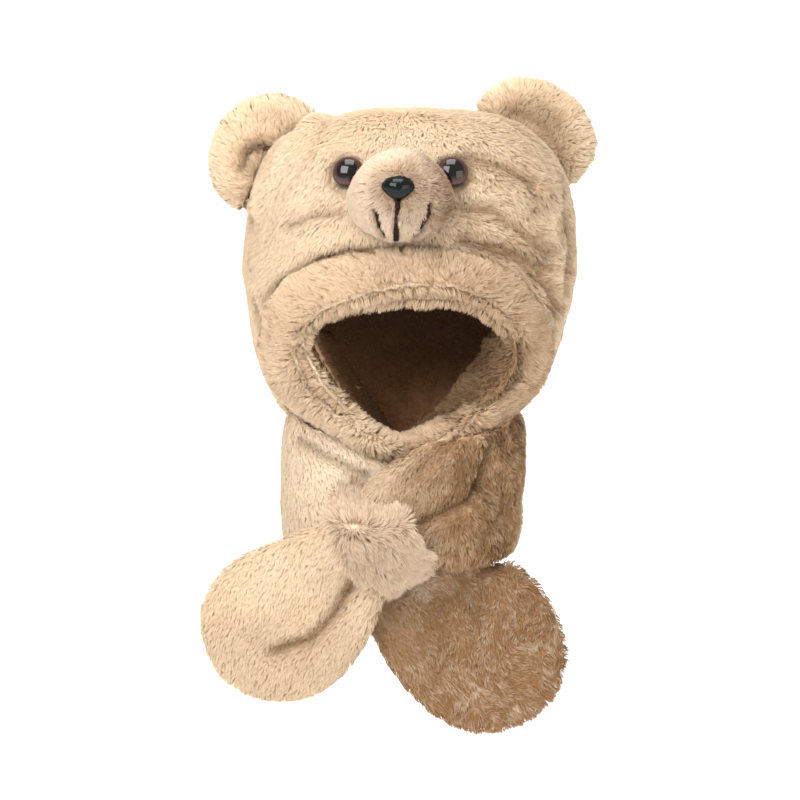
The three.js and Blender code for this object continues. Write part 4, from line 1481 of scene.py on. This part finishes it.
def stitched_line(name, skin, line, half_width, height, rise, sides=12):
    """A strip of stitches that lies on the skin under a line of the picture. Sizes are in mm."""
    middle = [np.array(p) for p in on_skin(surface(skin.data), line, 0.5)]
    angles = np.linspace(0, 2 * math.pi, sides, endpoint=False)
    rings = []
    travelled = 0.0
    for index, place in enumerate(middle):
        ahead = middle[min(index + 1, len(middle) - 1)] - middle[max(index - 1, 0)]
        ahead = ahead / max(np.linalg.norm(ahead), 1e-9)
        across = unit(np.cross(ahead, FORWARDS))
        out = np.cross(across, ahead)
        out = out if out[1] < 0 else -out
        if index:
            travelled += float(np.linalg.norm(place - middle[index - 1])) / MM
        ends = min(1.0, 0.25 + min(index, len(middle) - 1 - index) / 5)
        swell = 0.75 + 0.25 * abs(math.sin(math.pi * travelled / STITCH))
        for a in angles:
            up = math.sin(a) * height * swell + rise * ends
            rings.append(tuple(place + (across * math.cos(a) * half_width * ends + out * up) * MM))
    faces = tube_faces(len(middle), sides)
    faces += [tuple(range(sides)), tuple(reversed(range(len(rings) - sides, len(rings))))]
    mesh = bpy.data.meshes.new(name)
    mesh.from_pydata(rings, [], faces)
    mesh.polygons.foreach_set("use_smooth", [True] * len(faces))
    mesh.materials.append(thread)
    made = bpy.data.objects.new(name, mesh)
    scene.collection.objects.link(made)
    return made


mouth_line = [(398, 199), (397, 216), (396, 236)]
right_line, left_line = muzzle_folds[1]["line"], muzzle_folds[2]["line"]
mouth_seam = stitched_line("mouth_seam", muzzle_skin, mouth_line, half_width=2.1, height=2.0, rise=5.2)
# dark strips in the lip creases, as their painted shade
crease_shade_right = stitched_line("lip_crease_shade_right", muzzle_skin, right_line, half_width=1.8, height=1.6, rise=5.0)
crease_shade_left = stitched_line("lip_crease_shade_left", muzzle_skin, left_line, half_width=1.6, height=1.5, rise=5.2)

# %% [markdown]
# ## Putting it together
# Every piece rides on the part's only body. Skins and piles stand for the imported solids, which are then
# hidden.

# %% Bodies and what each piece stands for

dressed = [
    (hood_skin, "hood_shell", "fur", 0.5),
    (brim_skin, "face_brim", "fur", 0.7),
    (ear_right_skin, "ear_right", "fur", 0.5),
    (ear_left_skin, "ear_left", "fur", 0.5),
    (muzzle_skin, "muzzle", "muzzle_fur", 0.9),
    (over_skin, "scarf_over", "fur", 0.5),
    (under_skin, "scarf_under", "fur", 0.5),
    (keeper_skin, "keeper_loop", "fur", 0.4),
]
for piece, node, finish, fill in dressed:
    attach(piece, "root")
    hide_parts(node)
piles = [
    (hood_front_pile, tan_pile, "fur"),
    (hood_back_pile, tan_pile, "fur"),
    (brim_fur, brim_pile, "fur"),
    (ear_right_fur, tan_pile, "fur"),
    (ear_left_fur, tan_pile, "fur"),
    (muzzle_fur, muzzle_pile, "muzzle_fur"),
    (over_fur, tan_pile, "fur"),
    (under_fur, collar_pile_lit, "fur"),
    (keeper_fur, keeper_pile, "fur"),
    (lining_fur, lining_pile, "lining"),
    *((piece, material, "fur") for piece, material in facings),
]
for piece, material, finish in piles:
    piece.data.materials.append(material)
    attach(piece, "root")
for piece in (facing_left, facing_right):
    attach(piece, "root")
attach(lining_skin, "root")
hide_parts("hood_lining")
for piece, node in ((eye_left, "eye_left"), (eye_right, "eye_right")):
    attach(piece, "root")
    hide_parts(node)
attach(nose_skin, "root")
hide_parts("nose")
for piece in (mouth_seam, crease_shade_right, crease_shade_left):
    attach(piece, "root")
